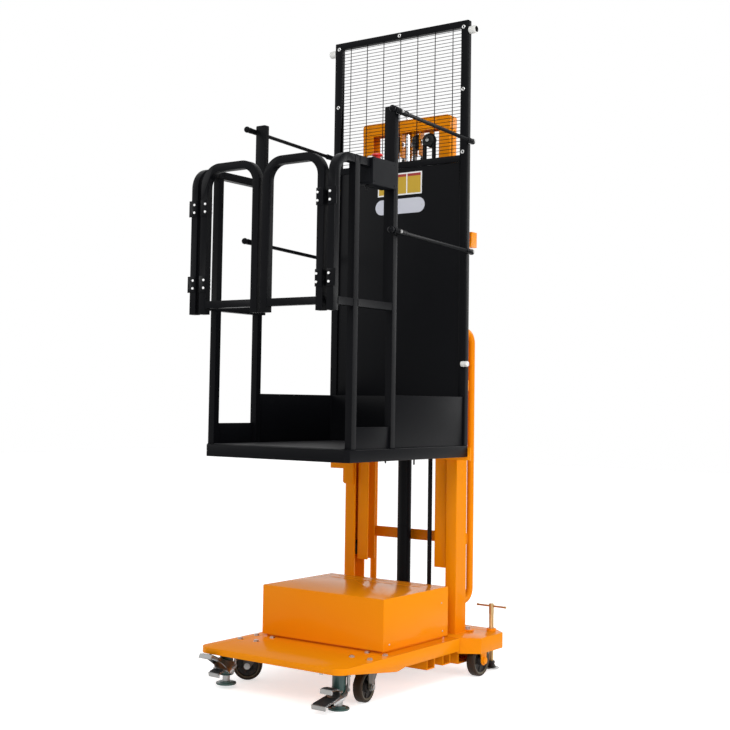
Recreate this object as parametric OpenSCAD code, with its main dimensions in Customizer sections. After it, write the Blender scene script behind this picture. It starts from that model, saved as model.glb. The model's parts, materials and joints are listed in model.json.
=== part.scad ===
// Push-around aerial order picker with a two-stage mast.
// Millimetres. X is across the truck, the entrance gates face -Y, Z is up.
// The origin is on the ground under the middle of the truck.

/* [Platform] */
// width of the operator platform over its side frames
platform_w = 596; // [560:2:640]
// length of the platform floor, entrance edge to back
platform_l = 725; // [640:5:780]
// height of the platform floor above the ground as parked
floor_z = 805; // [790:1:830]
// height of the floor tray's rim
floor_h = 40; // [30:1:50]
// height of the low toe boards at the front half of each side
toe_low = 70; // [50:1:100]
// height of the tall toe boards at the rear half of each side
toe_tall = 172; // [130:1:220]
// height of the guard rail above the floor
rail_h = 926; // [880:1:960]
// height of the mid rail's middle above the floor
mid_rail_h = 460; // [400:5:520]
// square size of the guard rail tube
rail = 26; // [20:1:30]
// outer radius of the guard tube's bends
bend_r = 75; // [50:1:90]
// distance that the gates stand ahead of the floor
gate_ahead = 86; // [70:1:110]
// height of the tall side posts above the floor
post_h = 1120; // [1050:5:1200]

/* [Shield] */
// height of the shield above the floor
shield_h = 1530; // [1400:5:1600]
// height of the solid panel above the floor
panel_h = 1040; // [950:5:1100]
// width of the shield's upright tubes
stile_w = 30; // [25:1:35]
// depth of the shield's tubes
stile_d = 25; // [20:1:30]
// pitch of the upright wires in the screen
wire_pitch_x = 76.2; // [60:0.1:90]
// pitch of the level wires in the screen
wire_pitch_z = 12.7; // [12:0.1:16]
// thickness of the screen's upright wires
wire_d = 3.2; // [2.5:0.1:4]
// thickness of the screen's level wires
level_wire_d = 2.2; // [1.8:0.1:3.2]

/* [Mast] */
// stroke left above the parked height of the inner mast
stroke_up = 940; // [800:10:1000]
// stroke below the parked height of the inner mast
stroke_down = 210; // [150:5:215]
// height of the outer mast's top above the ground
outer_top = 1600; // [1500:5:1650]
// width over the outer mast's rails
outer_w = 490; // [480:1:500]
// depth of the outer mast's rails, front to back
outer_d = 70; // [66:1:76]
// width of each outer rail's flanges
outer_flange = 44; // [40:1:46]
// thickness of the outer rails
outer_t = 7; // [6:0.5:8]
// gap between the outer and the inner rails, side to side
nest_gap = 7; // [6:0.5:9]
// width of each inner rail's flanges
inner_flange = 47; // [44:1:48]
// depth of the inner mast's rails, front to back
inner_d = 50; // [46:1:54]
// thickness of the inner rails
inner_t = 6; // [5:0.5:7]
// height of the inner rails' bottom above the ground as parked
inner_bottom = 365; // [355:1:375]
// height of the inner mast's top above the ground as parked
inner_top = 2012; // [1960:1:2040]
// outer radius of the lift cylinder
barrel_r = 25; // [22:1:27]
// radius of the lift rod
rod_r = 15; // [12:1:17]
// distance of each lift chain from the middle
chain_x = 42; // [38:1:46]
// radius at which the chains run on their sheaves
sheave_r = 27; // [24:1:28]
// distance of the cable pulley from the middle
pulley_x = 100; // [94:1:102]

/* [Base] */
// width of the base deck
deck_w = 598; // [580:2:620]
// height of the deck's top above the ground
deck_z = 139; // [139:1:146]
// thickness of the deck plate
deck_t = 6; // [5:0.5:8]
// radius of the deck's front corners
deck_corner = 45; // [30:1:60]
// height of the deck's front lip
lip_h = 20; // [18:1:26]
// width of the power box
box_w = 510; // [460:5:540]
// length of the power box, front to back
box_l = 398; // [340:2:410]
// height of the power box
box_h = 168; // [140:1:172]
// width over the rear outriggers
base_w = 712; // [700:2:740]
// height of the outriggers' side walls
outrigger_h = 54; // [48:1:60]

/* [Running gear] */
// radius of the front caster wheels
front_r = 50; // [48:0.5:51]
// radius of the rear wheels
rear_r = 56; // [50:1:58]
// width of all four wheels
wheel_w = 32; // [28:1:34]
// distance of each caster's swivel axis from the middle
caster_x = 235; // [215:1:235]
// distance from the swivel axis to the wheel's axle
trail = 28; // [24:1:28]
// swivel angle of the right caster as parked
swivel_right = 7; // [-90:1:90]
// swivel angle of the left caster as parked
swivel_left = -55; // [-90:1:90]

/* [Hidden] */

orange = [0.93, 0.52, 0.06];
black = [0.07, 0.07, 0.08];
zinc = [0.72, 0.74, 0.76];
green = [0.16, 0.29, 0.25];
dark = [0.14, 0.12, 0.11];

// level planes
deck_under = deck_z - deck_t;
rail_top = floor_z + rail_h;
mid_z = floor_z + mid_rail_h;
gate_bottom = floor_z + mid_rail_h - 31;
post_top = floor_z + post_h;
shield_top = floor_z + shield_h;
panel_top = floor_z + panel_h;

// planes along the truck, from the shield's front face
hinge_leaf = 3;
bolt_head = 2.5;
rear_reach = 228.5;
floor_ahead = platform_l - stile_d;
front_reach = floor_ahead + gate_ahead + hinge_leaf + bolt_head;
shield_y = (front_reach - rear_reach) / 2;
floor_front = shield_y - floor_ahead;
gate_front = floor_front - gate_ahead;
carriage_y = shield_y + stile_d;
carriage_t = 8;
mast_gap = 6;
outer_y = carriage_y + carriage_t + mast_gap;
mast_mid = outer_y + outer_d / 2;
inner_y = mast_mid - inner_d / 2;
post_y = floor_front + 237;
post_d = 24;
deck_front = floor_front - 9;
deck_end = shield_y - 20;
deck_back = shield_y + rear_reach;

// positions across the truck
side_x = platform_w / 2;
outer_x = outer_w / 2;
inner_x = outer_x - outer_flange - nest_gap;
hinge_x = side_x - rail - 8;

// C-section rail standing on the ground plane, open towards the middle
module c_rail(x_out, y0, flange, depth, t, h) {
    linear_extrude(h)
        polygon([[x_out, y0], [x_out, y0 + depth], [x_out - flange, y0 + depth],
            [x_out - flange, y0 + depth - t], [x_out - t, y0 + depth - t], [x_out - t, y0 + t],
            [x_out - flange, y0 + t], [x_out - flange, y0]]);
}

module both_sides() {
    children();
    mirror([1, 0, 0]) children();
}

module box_at(x0, x1, y0, y1, z0, z1) {
    translate([x0, y0, z0]) cube([x1 - x0, y1 - y0, z1 - z0]);
}

module rod_between_y(x, z, r, y0, y1) {
    translate([x, y0, z]) rotate([-90, 0, 0]) cylinder(r = r, h = y1 - y0, $fn = 24);
}

module rod_between_x(y, z, r, x0, x1) {
    translate([x0, y, z]) rotate([0, 90, 0]) cylinder(r = r, h = x1 - x0, $fn = 32);
}

// base deck: plate with rounded front corners, a front lip and side skirts
plinth_h = 7;
plinth_inset = 12;
box_y1 = shield_y - 28;
box_y0 = box_y1 - box_l;
skirt_t = 5;
skirt_low = deck_z - 52;
skirt_peak = 295;

module deck_outline(inset) {
    w = deck_w / 2 - inset;
    r = deck_corner - inset;
    y0 = deck_front + inset;
    union() {
        translate([-w, y0 + r]) square([2 * w, deck_end - y0 - r]);
        translate([-w + r, y0]) square([2 * (w - r), r + 1]);
        translate([w - r, y0 + r]) circle(r = r, $fn = 48);
        translate([-w + r, y0 + r]) circle(r = r, $fn = 48);
    }
}

module deck() {
    color(orange) {
        translate([0, 0, deck_under]) linear_extrude(deck_t) deck_outline(0);
        translate([0, 0, deck_z - lip_h]) linear_extrude(lip_h - deck_t + 1)
            difference() {
                deck_outline(0);
                deck_outline(skirt_t);
            }
        both_sides()
            translate([deck_w / 2 - skirt_t, 0, 0]) rotate([90, 0, 90]) linear_extrude(skirt_t)
                polygon([[deck_front + deck_corner, deck_z - lip_h - 1], [deck_front + skirt_peak, skirt_low],
                    [deck_front + skirt_peak + 12, skirt_low], [deck_front + skirt_peak + 55, skirt_low + 8], [deck_end, skirt_low + 8],
                    [deck_end, deck_under + 1], [deck_front + deck_corner, deck_under + 1]]);
        translate([0, 0, deck_z - 1]) linear_extrude(plinth_h + 1)
            difference() {
                translate([-box_w / 2 + plinth_inset, box_y0 + plinth_inset])
                    square([box_w - 2 * plinth_inset, box_l - 2 * plinth_inset]);
                translate([-box_w / 2 + 2 * plinth_inset, box_y0 + 2 * plinth_inset])
                    square([box_w - 4 * plinth_inset, box_l - 4 * plinth_inset]);
            }
    }
}

// cross members under the deck: front distance from the shield, length, underside height
under_y = 0;
under_l = 1;
under_z = 2;
UNDER = [[-208, 50, 57], [-107, 50, 57], [-6, 116, 46]];
under_gap = 19;
under_wall = 5;

module underframe() {
    half = rear_x - wheel_w / 2 - under_gap;
    color(orange) {
        for (m = UNDER)
            difference() {
                box_at(-half, half, shield_y + m[under_y], shield_y + m[under_y] + m[under_l],
                    m[under_z], deck_under);
                box_at(-half - 5, half + 5, shield_y + m[under_y] + under_wall,
                    shield_y + m[under_y] + m[under_l] - under_wall, m[under_z] + under_wall, deck_under - under_wall);
            }
    }
}

// rear outriggers: chamfered box each side, open below over its wheel
outrigger_wall = 5;
outrigger_in = deck_w / 2 - 14;
outrigger_z = deck_z - outrigger_h;

module outrigger_side() {
    w = outrigger_wall;
    x1 = base_w / 2;
    y1 = deck_back;
    difference() {
        translate([0, 0, outrigger_z]) linear_extrude(outrigger_h)
            polygon([[200, deck_end], [outrigger_in, deck_end], [x1, deck_end + 50], [x1, y1 - 46],
                [x1 - 56, y1], [200, y1]]);
        translate([0, 0, outrigger_z - 1]) linear_extrude(outrigger_h - deck_t + 1)
            polygon([[199, deck_end - 1], [outrigger_in - 1, deck_end - 1], [x1 - w, deck_end + 50 + 0.6 * w],
                [x1 - w, y1 - 46 - 0.4 * w], [x1 - 56 - 0.4 * w, y1 - w], [199, y1 - w]]);
    }
}

jack_x = base_w / 2 - 51;
jack_y = deck_back - 38.5;
jack_r = 9;

module outriggers() {
    color(orange) {
        difference() {
            union() {
                both_sides() outrigger_side();
                box_at(-205, 205, deck_end, deck_back, deck_under, deck_z);
                box_at(-205, 205, deck_back - outrigger_wall, deck_back, outrigger_z, deck_z);
                both_sides() translate([jack_x, jack_y, deck_under - 20]) cylinder(r = 17, h = 34, $fn = 32);
            }
            both_sides() translate([jack_x, jack_y, deck_under - 21])
                cylinder(r = jack_r + 0.6, h = 40, $fn = 32);
        }
    }
}

// power box cover: plain sheet box with two rows of air slots along its rear
slot_rows = [-115, -70];
slot_w = 40;
slot_l = 6;
slot_pitch = 57;
box_z = deck_z + plinth_h;
box_wall = 3;
box_flange = 20;
battery_w = box_w - 150;

module power_box() {
    color(orange)
        difference() {
            box_at(-box_w / 2, box_w / 2, box_y0, box_y0 + box_l, box_z, box_z + box_h);
            box_at(-box_w / 2 + box_wall, box_w / 2 - box_wall, box_y0 + box_wall,
                box_y0 + box_l - box_wall, box_z + box_wall, box_z + box_h - box_wall);
            box_at(-box_w / 2 + box_flange, box_w / 2 - box_flange, box_y0 + box_flange,
                box_y0 + box_l - box_flange, box_z - 1, box_z + box_wall + 1);
            for (y = slot_rows, k = [-3:3])
                translate([k * slot_pitch - slot_w / 2, shield_y + y, box_z + box_h - box_wall - 1])
                    cube([slot_w, slot_l, box_wall + 2]);
        }
}

module battery_pack() {
    color(dark) box_at(-battery_w / 2, battery_w / 2, box_y0 + 40, box_y1 - 60, deck_z + 0.3, box_z + box_h - 45);
}

// fixed outer mast
foot_t = 6;

module outer_rails() {
    color(orange) {
        both_sides() translate([0, 0, deck_z])
            c_rail(outer_x, outer_y, outer_flange, outer_d, outer_t, outer_top - deck_z);
        both_sides()
            difference() {
                box_at(outer_x - outer_flange, outer_x + 18, outer_y + outer_d, outer_y + outer_d + 30,
                    deck_z, deck_z + foot_t);
                translate([outer_x, outer_y + outer_d + 16, deck_z - 1]) cylinder(r = 5, h = foot_t + 2, $fn = 24);
            }
    }
}

// flat ties behind the outer mast: underside height, height of the bar
tie_z = 0;
tie_h = 1;
anchor_z = 1000;
TIES = [[449, 38], [anchor_z, 38], [outer_top - 80, 60]];
lug_z0 = outer_top - 80;
lug_z1 = outer_top - 25;
lug_hole_z = outer_top - 44;
run_bottom = anchor_z + 36;
clamp_z = anchor_z + 21;
tie_t = 8;
tie_y = outer_y + outer_d;
lug_hole = 8;
lug_l = 30;

module mast_ties() {
    color(orange) {
        for (t = TIES)
            box_at(-outer_x, outer_x, tie_y, tie_y + tie_t, t[tie_z], t[tie_z] + t[tie_h]);
        both_sides()
            difference() {
                union() {
                    box_at(outer_x + 0.3, outer_x + 28, tie_y - lug_l, tie_y + tie_t, lug_z0, lug_z1);
                    box_at(outer_x - 10, outer_x + 28, tie_y, tie_y + tie_t, lug_z0, lug_z1);
                }
                translate([outer_x + 15, tie_y - lug_l - 1, lug_hole_z]) rotate([-90, 0, 0])
                    cylinder(r = lug_hole, h = lug_l + tie_t + 2, $fn = 32);
            }
        for (x = [-chain_x, chain_x])
            box_at(x - 8, x + 8, mast_mid + sheave_r - 7, tie_y + 1, anchor_z, run_bottom);
        box_at(pulley_x + 10, pulley_x + 29, mast_mid - 24, tie_y + 1, clamp_z, clamp_z + 14);
    }
}

barrel_top = outer_top - 140;
barrel_gap = 1;

module lift_barrel() {
    color(black) {
        difference() {
            union() {
                translate([0, mast_mid, deck_z]) cylinder(r = barrel_r, h = barrel_top - deck_z, $fn = 48);
                translate([0, mast_mid, barrel_top - 40]) cylinder(r = barrel_r + 3, h = 40, $fn = 48);
            }
            translate([0, mast_mid, deck_z + 20]) cylinder(r = rod_r + barrel_gap, h = barrel_top, $fn = 48);
        }
        translate([0, mast_mid, deck_z]) cylinder(r = barrel_r + 8, h = 14, $fn = 48);
    }
}

cable_r = 8;
pulley_r = 20;
cable_y = mast_mid - 14;
sheave_z = inner_top - 87;

module cable_riser() {
    color(black) translate([pulley_x + pulley_r, cable_y, deck_z])
        cylinder(r = cable_r, h = clamp_z - deck_z, $fn = 24);
}

// chains and cable between the fixed mast and the inner mast's sheaves
chain_w = 12;
chain_t = 9;

module rear_runs() {
    color(dark) {
        for (x = [-chain_x, chain_x])
            box_at(x - chain_w / 2, x + chain_w / 2, mast_mid + sheave_r - chain_t / 2,
                mast_mid + sheave_r + chain_t / 2, run_bottom, sheave_z);
        translate([pulley_x + pulley_r, cable_y, run_bottom])
            cylinder(r = cable_r, h = sheave_z - run_bottom, $fn = 24);
    }
}

// tubular push handles behind the mast
handle_x = 214;
handle_y = shield_y + 187;
handle_z0 = 243;
handle_z1 = 1216;
handle_r = 12.5;
handle_bend = 42;

module handle_side() {
    translate([handle_x, 0, 0]) {
        translate([0, handle_y, handle_z0 + handle_bend])
            cylinder(r = handle_r, h = handle_z1 - handle_z0 - 2 * handle_bend, $fn = 32);
        for (end = [[handle_z0, 1], [handle_z1, -1]])
            translate([0, handle_y - handle_bend, end[0] + end[1] * handle_bend])
                rotate([0, 90, 0]) rotate([0, 0, end[1] > 0 ? 0 : 90])
                    rotate_extrude(angle = 90, $fn = 48) translate([handle_bend, 0]) circle(r = handle_r, $fn = 32);
        for (z = [handle_z0, handle_z1])
            rod_between_y(0, z, handle_r, tie_y, handle_y - handle_bend);
    }
}

module push_handles() {
    color(orange) both_sides() handle_side();
}

// bolt-on plates of the front casters, with the swivel pins
caster_back = 229;
caster_y = deck_front + caster_back;
hole_dx = 70;
hole_dy = 86;
caster_plate_t = 9;
crown_gap = 5;
crown_z = 2 * front_r + crown_gap;
race_z = deck_under - caster_plate_t - 1;

module caster_plates() {
    color(zinc)
        both_sides() translate([caster_x, caster_y, 0]) {
            difference() {
                translate([-47, -55, deck_under - caster_plate_t]) cube([94, 110, caster_plate_t]);
                for (x = [-hole_dx / 2, hole_dx / 2], y = [-hole_dy / 2, hole_dy / 2])
                    translate([x, y, deck_under - caster_plate_t - 1])
                        cylinder(r = 4.5, h = caster_plate_t + 2, $fn = 24);
            }
            translate([0, 0, crown_z + 1]) cylinder(r = 8, h = deck_under - crown_z - 1, $fn = 32);
        }
}

module fork(side, angle) {
    fork_in = wheel_w / 2 + 5;
    fork_t = 4;
    translate([side * caster_x, caster_y, 0]) rotate([0, 0, angle]) {
        difference() {
            union() {
                translate([-fork_in - fork_t, -trail - 16, crown_z]) cube([2 * (fork_in + fork_t), trail + 42, 4]);
                translate([0, 0, crown_z]) cylinder(r = 28, h = race_z - crown_z, $fn = 48);
                for (s = [-1, 1])
                    translate([s > 0 ? fork_in : -fork_in - fork_t, 0, 0]) rotate([90, 0, 90])
                        linear_extrude(fork_t) {
                            polygon([[26, crown_z + 4], [-trail - 16, crown_z + 4], [-trail - 12, front_r],
                                [-trail + 10, front_r - 7], [20, crown_z - 12]]);
                            translate([-trail, front_r]) circle(r = 12, $fn = 32);
                        }
                rod_between_x(-trail, front_r, 5.5, -fork_in - fork_t - 4, fork_in + fork_t + 4);
                for (s = [-1, 1])
                    rod_between_x(-trail, front_r, 9, s > 0 ? fork_in + fork_t - 1 : -fork_in - fork_t - 6,
                        s > 0 ? fork_in + fork_t + 6 : -fork_in - fork_t + 1);
            }
            translate([0, 0, crown_z - 1]) cylinder(r = 8.6, h = race_z, $fn = 32);
        }
    }
}

module fork_left() {
    color(dark) fork(-1, swivel_left);
}

module fork_right() {
    color(dark) fork(1, swivel_right);
}

// wheel with its axle along X: tread, side recess and bore
module wheel(r) {
    w = wheel_w / 2;
    rotate([0, 90, 0]) rotate_extrude($fn = 48)
        polygon([[6, -w - 3], [11, -w - 3], [11, -w + 4], [r - 13, -w + 4], [r - 11, -w], [r - 3, -w],
            [r, -w + 4], [r, w - 4], [r - 3, w], [r - 11, w], [r - 13, w - 4], [11, w - 4], [11, w + 3],
            [6, w + 3]]);
}

module front_wheel(side, angle) {
    translate([side * caster_x, caster_y, 0]) rotate([0, 0, angle]) translate([0, -trail, front_r])
        wheel(front_r);
}

module front_wheel_left() {
    color(dark) front_wheel(-1, swivel_left);
}

module front_wheel_right() {
    color(dark) front_wheel(1, swivel_right);
}

// fixed rear wheels between hanging plates under the outriggers
rear_x = base_w / 2 - 36;
rear_y = shield_y + 70;

module wheel_brackets() {
    color(orange)
        both_sides() {
            for (x = [rear_x - wheel_w / 2 - 9, rear_x + wheel_w / 2 + 5])
                translate([x, 0, 0]) rotate([90, 0, 90]) linear_extrude(4) {
                    polygon([[rear_y - 24, deck_under], [rear_y + 24, deck_under],
                        [rear_y + 17, rear_r], [rear_y - 17, rear_r]]);
                    translate([rear_y, rear_r]) circle(r = 17, $fn = 32);
                }
            rod_between_x(rear_y, rear_r, 5.5, rear_x - wheel_w / 2 - 14, rear_x + wheel_w / 2 + 14);
            rod_between_x(rear_y, rear_r, 12, rear_x + wheel_w / 2 + 8, rear_x + wheel_w / 2 + 16);
            rod_between_x(rear_y, rear_r, 9, rear_x - wheel_w / 2 - 15, rear_x - wheel_w / 2 - 8);
        }
}

module rear_wheel_left() {
    color(dark) translate([-rear_x, rear_y, rear_r]) wheel(rear_r);
}

module rear_wheel_right() {
    color(dark) translate([rear_x, rear_y, rear_r]) wheel(rear_r);
}

// foot-operated floor locks at the front corners
lock_x = 233;
lock_y = deck_front + 74;
lock_z = 45;
left_foot_z = 12;

module floor_locks() {
    color(green)
        both_sides() translate([lock_x, lock_y, 0]) {
            difference() {
                translate([0, 0, lock_z]) cylinder(r = 22, h = deck_under - lock_z, $fn = 32);
                translate([0, 0, lock_z - 1]) cylinder(r = 13, h = 70, $fn = 32);
            }
            translate([-40, -30, deck_under - 5]) cube([80, 60, 5]);
        }
    color(green) {
        foot(1, 0);
        foot(-1, left_foot_z);
        lever_pivots(1, pivot_down);
        lever_pivots(-1, pivot_up);
    }
}

// pivot bosses of a lever: distance ahead of the housing, height
pivot_down = [-14, 104];
pivot_up = [-6, 70];

module lever_pivots(side, p) {
    translate([side * lock_x, lock_y, 0])
        for (x = [-lever_in + 0.3, 17])
            rod_between_x(-p[0], deck_z - 139 + p[1], 5, x, x + lever_in - 17.3);
}

module foot(side, z) {
    translate([side * lock_x, lock_y, z]) {
        cylinder(r = 33, h = 6, $fn = 48);
        cylinder(r = 22, h = 10, $fn = 48);
        cylinder(r = 12, h = 60, $fn = 32);
    }
}

// lock levers seen from the side: distance ahead of the housing, height
lever_in = 23.5;
lever_t = 3;
LEVER_DOWN = [[-22, 124], [-8, 124], [-9, 82], [2, 58], [24, 46], [62, 37], [60, 25], [18, 28], [-8, 44], [-22, 76]];
LEVER_UP = [[-14, 84], [6, 92], [30, 96], [64, 112], [70, 101], [36, 78], [14, 52], [-2, 46], [-14, 56]];

module lever_cheeks(profile) {
    for (x = [-lever_in - lever_t, lever_in])
        translate([x, 0, 0]) rotate([90, 0, 90]) linear_extrude(lever_t)
            polygon([for (p = profile) [-p[0], p[1]]]);
}

// pressed plate on the lever: root distance ahead, height, slope, length, width
module tread(ahead, z, slope, l, w) {
    translate([-w / 2, -ahead, z]) rotate([slope, 0, 0]) {
        translate([0, -l, 0]) cube([w, l, 3]);
        translate([0, -l - 2, -10]) cube([w, 3, 13]);
        for (k = [0:2])
            translate([0, -l + 8 + 9 * k, 0]) cube([w, 3, 5]);
    }
}

module lock_pedals() {
    w = 2 * (lever_in + lever_t);
    color(zinc) {
        translate([lock_x, lock_y, deck_z - 139]) {
            lever_cheeks(LEVER_DOWN);
            tread(34, 38, 10, 72, w);
            tread(27, 64, -4, 40, w - 8);
            rod_between_x(-27, 62, 4, -lever_in - 8, lever_in + 8);
            translate([-lever_in - lever_t, -30, 38]) cube([w, 6, 26]);
        }
        translate([-lock_x, lock_y, deck_z - 139]) {
            lever_cheeks(LEVER_UP);
            tread(34, 88, -24, 76, w);
            tread(27, 62, 14, 36, w - 8);
            rod_between_x(-27, 64, 4, -lever_in - 8, lever_in + 8);
            translate([-lever_in - lever_t, -30, 62]) cube([w, 6, 28]);
        }
    }
}

// levelling jacks in the outriggers: screw, cross handle and round foot
module jack(side) {
    translate([side * jack_x, jack_y, 0]) {
        translate([0, 0, 14]) cylinder(r = jack_r, h = deck_z + 82, $fn = 32);
        translate([-61, 0, deck_z + 87]) rotate([0, 90, 0]) cylinder(r = 3.5, h = 122, $fn = 24);
        translate([0, 0, 6]) cylinder(r = 30, h = 4, $fn = 48);
        translate([0, 0, 10]) cylinder(r1 = 18, r2 = 11, h = 14, $fn = 48);
    }
}

module jack_left() {
    color(zinc) jack(-1);
}

module jack_right() {
    color(zinc) jack(1);
}

// moving inner mast
module inner_rails() {
    color(orange)
        both_sides() translate([0, 0, inner_bottom])
            c_rail(inner_x, inner_y, inner_flange, inner_d, inner_t, inner_top - head_h - inner_bottom);
}

head_h = 47;
head_t = 6;
hanger_z = inner_top - 137;
hanger_t = 5;
hanger_gap = 12;

head_round = 12;

// front view of the mast head with rounded upper corners
module head_profile() {
    z0 = inner_top - head_h;
    translate([-inner_x, z0]) square([2 * inner_x, head_h - head_round]);
    translate([-inner_x + head_round, z0]) square([2 * (inner_x - head_round), head_h]);
    for (x = [-inner_x + head_round, inner_x - head_round])
        translate([x, inner_top - head_round]) circle(r = head_round, $fn = 48);
}

module mast_head() {
    color(orange) {
        difference() {
            translate([0, inner_y + inner_d, 0]) rotate([90, 0, 0]) linear_extrude(inner_d) head_profile();
            box_at(-inner_x + inner_t, inner_x - inner_t, inner_y + head_t, inner_y + inner_d - head_t,
                inner_top - head_h - 1, inner_top - head_t);
        }
        for (x = [-chain_x, chain_x], s = [-1, 1])
            translate([x + s * hanger_gap - hanger_t / 2 + s * hanger_t / 2, 0, 0])
                box_at(0, hanger_t, mast_mid - 15, mast_mid + 15, hanger_z, inner_top - head_t + 1);
        for (x = [-chain_x, chain_x])
            rod_between_x(mast_mid, sheave_z, 5.5, x - hanger_gap - 1, x + hanger_gap + 1);
        box_at(pulley_x - 9, pulley_x + 9, cable_y + 13, cable_y + 19, sheave_z - 25, inner_top - head_t + 1);
        rod_between_y(pulley_x, sheave_z, 5, cable_y - 14, cable_y + 14);
    }
}

// guide rollers of the inner mast, chain sheaves and cable pulley
roller_z = inner_bottom + 40;

module mast_rollers() {
    color(dark) {
        both_sides() {
            rod_between_x(mast_mid, roller_z, outer_d / 2 - outer_t - 1, inner_x + 4, outer_x - outer_t - 5);
            rod_between_x(mast_mid, roller_z, 12, inner_x, inner_x + 6);
        }
        for (x = [-chain_x, chain_x])
            translate([x, mast_mid, sheave_z]) rotate([0, 90, 0]) rotate_extrude($fn = 48)
                polygon([[6, -10], [sheave_r + 2, -10], [sheave_r + 2, -7], [sheave_r - chain_t / 2 - 0.5, -7],
                    [sheave_r - chain_t / 2 - 0.5, 7], [sheave_r + 2, 7], [sheave_r + 2, 10], [6, 10]]);
        translate([pulley_x, cable_y, sheave_z]) rotate([90, 0, 0]) rotate_extrude($fn = 48)
            polygon([[5.5, -12], [pulley_r + 4, -12], [pulley_r + 4, -9], [pulley_r - cable_r - 0.5, -9],
                [pulley_r - cable_r - 0.5, 9], [pulley_r + 4, 9], [pulley_r + 4, 12], [5.5, 12]]);
    }
}

// turns of the chains and the cable over their sheaves
module chain_wraps() {
    color(dark) {
        for (x = [-chain_x, chain_x])
            translate([x, mast_mid, sheave_z + 0.3]) rotate([0, -90, 0]) rotate([0, 0, -90])
                rotate_extrude(angle = 180, $fn = 64)
                    translate([sheave_r - chain_t / 2, -chain_w / 2]) square([chain_t, chain_w]);
        translate([pulley_x, cable_y, sheave_z + 0.3]) rotate([90, 0, 0])
            rotate_extrude(angle = 180, $fn = 64) translate([pulley_r, 0]) circle(r = cable_r, $fn = 24);
    }
}

rod_bottom = 440;

module lift_rod() {
    color(zinc) translate([0, mast_mid, rod_bottom])
        cylinder(r = rod_r, h = inner_top - head_t - rod_bottom, $fn = 48);
}

// chains and cable between the sheaves and the carriage
anchor_top = floor_z + 5;

module front_runs() {
    color(dark) {
        for (x = [-chain_x, chain_x])
            box_at(x - chain_w / 2, x + chain_w / 2, mast_mid - sheave_r - chain_t / 2,
                mast_mid - sheave_r + chain_t / 2, anchor_top, sheave_z);
        translate([pulley_x - pulley_r, cable_y, anchor_top]) cylinder(r = cable_r, h = sheave_z - anchor_top, $fn = 24);
    }
}

// carriage behind the platform
arm_in = 185;
plate_x = 134;
plate_t = 8;
arm_z0 = floor_z - floor_h;
arm_h = 295;
arm_z1 = floor_z + arm_h;
band_drop = 12;
stay_drop = 160;
stay_z = floor_z - stay_drop;
stay_step = 56;
stay_in = outer_x - outer_flange;
plate_top = inner_top - head_h - stroke_up - 6;

module carriage_frame() {
    color(orange) {
        both_sides() box_at(arm_in, outer_x, carriage_y, carriage_y + carriage_t, arm_z0, arm_z1);
        box_at(-side_x - 9, side_x + 9, carriage_y, carriage_y + carriage_t, arm_z0 - band_drop, arm_z0 + 34);
        translate([0, carriage_y + carriage_t, 0]) rotate([90, 0, 0]) linear_extrude(carriage_t)
            polygon([[-side_x - 9, arm_z0], [-side_x - 9, stay_z + stay_step], [-outer_x - 3, stay_z + stay_step],
                [-outer_x - 3, stay_z + 7], [-outer_x + 4, stay_z], [-stay_in, stay_z], [-stay_in, arm_z0]]);
        box_at(-outer_x, outer_x, carriage_y, carriage_y + carriage_t, arm_z1 - 80, arm_z1);
        both_sides() box_at(plate_x, plate_x + plate_t, carriage_y + carriage_t - 1, mast_mid + 22, arm_z0, plate_top);
        both_sides() box_at(plate_x, arm_in + 10, carriage_y, carriage_y + carriage_t, arm_z0 + 33, arm_z0 + 120);
        for (x = [-chain_x, chain_x])
            box_at(x - 9, x + 9, carriage_y + carriage_t - 1, mast_mid - sheave_r + 7, anchor_top - 40, anchor_top);
        box_at(pulley_x - pulley_r - 12, pulley_x - pulley_r + 12, carriage_y + carriage_t - 1, cable_y + 12,
            anchor_top - 16, anchor_top);
        box_at(-60, -24, carriage_y, carriage_y + carriage_t, floor_z - floor_h - 1, arm_z1 - 79);
        box_at(24, 110, carriage_y, carriage_y + carriage_t, floor_z - floor_h - 1, arm_z1 - 79);
    }
}

module carriage_rollers() {
    color(dark)
        both_sides() for (z = [arm_z0 + 28, plate_top - 22]) {
            rod_between_x(mast_mid, z, inner_d / 2 - inner_t - 1, plate_x + plate_t + 5, inner_x - inner_t - 4);
            rod_between_x(mast_mid, z, 10, plate_x + plate_t, plate_x + plate_t + 6);
        }
}

// platform floor: tray with a rim below the plate and bevelled front corners
floor_t = 5;
rim_t = 5;
floor_bevel = 14;

module floor_outline(inset) {
    w = side_x - inset;
    b = floor_bevel - 0.4 * inset;
    polygon([[-w, carriage_y - inset], [w, carriage_y - inset], [w, floor_front + inset + b],
        [w - b, floor_front + inset], [-w + b, floor_front + inset], [-w, floor_front + inset + b]]);
}

module platform_floor() {
    color(black) {
        difference() {
            translate([0, 0, floor_z - floor_h]) linear_extrude(floor_h) floor_outline(0);
            translate([0, 0, floor_z - floor_h - 1]) linear_extrude(floor_h - floor_t + 1) floor_outline(rim_t);
        }
        for (x = [-200, 0, 200])
            box_at(x - 15, x + 15, floor_front + 1, carriage_y - 1, floor_z - floor_h + 8, floor_z - floor_t + 1);
    }
}

// toe boards round the platform
toe_t = 3;
post_front = floor_front + 20;
low_post = 25;

module toe_boards() {
    color(black) {
        both_sides() {
            box_at(side_x - 6 - toe_t, side_x - 6, post_front + low_post, post_y, floor_z, floor_z + toe_low);
            box_at(side_x - 6 - toe_t, side_x - 6, post_y + post_d, shield_y, floor_z, floor_z + toe_tall);
        }
        box_at(-side_x + 6, side_x - 6, shield_y - toe_t, shield_y, floor_z, floor_z + toe_tall);
    }
}

// inverted U of square tube seen from the front or the side, legs at x0 and x1
module bent_corner(s) {
    rotate_extrude(angle = 90, $fn = 64) translate([bend_r - s, 0]) square([s, s]);
}

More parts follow.
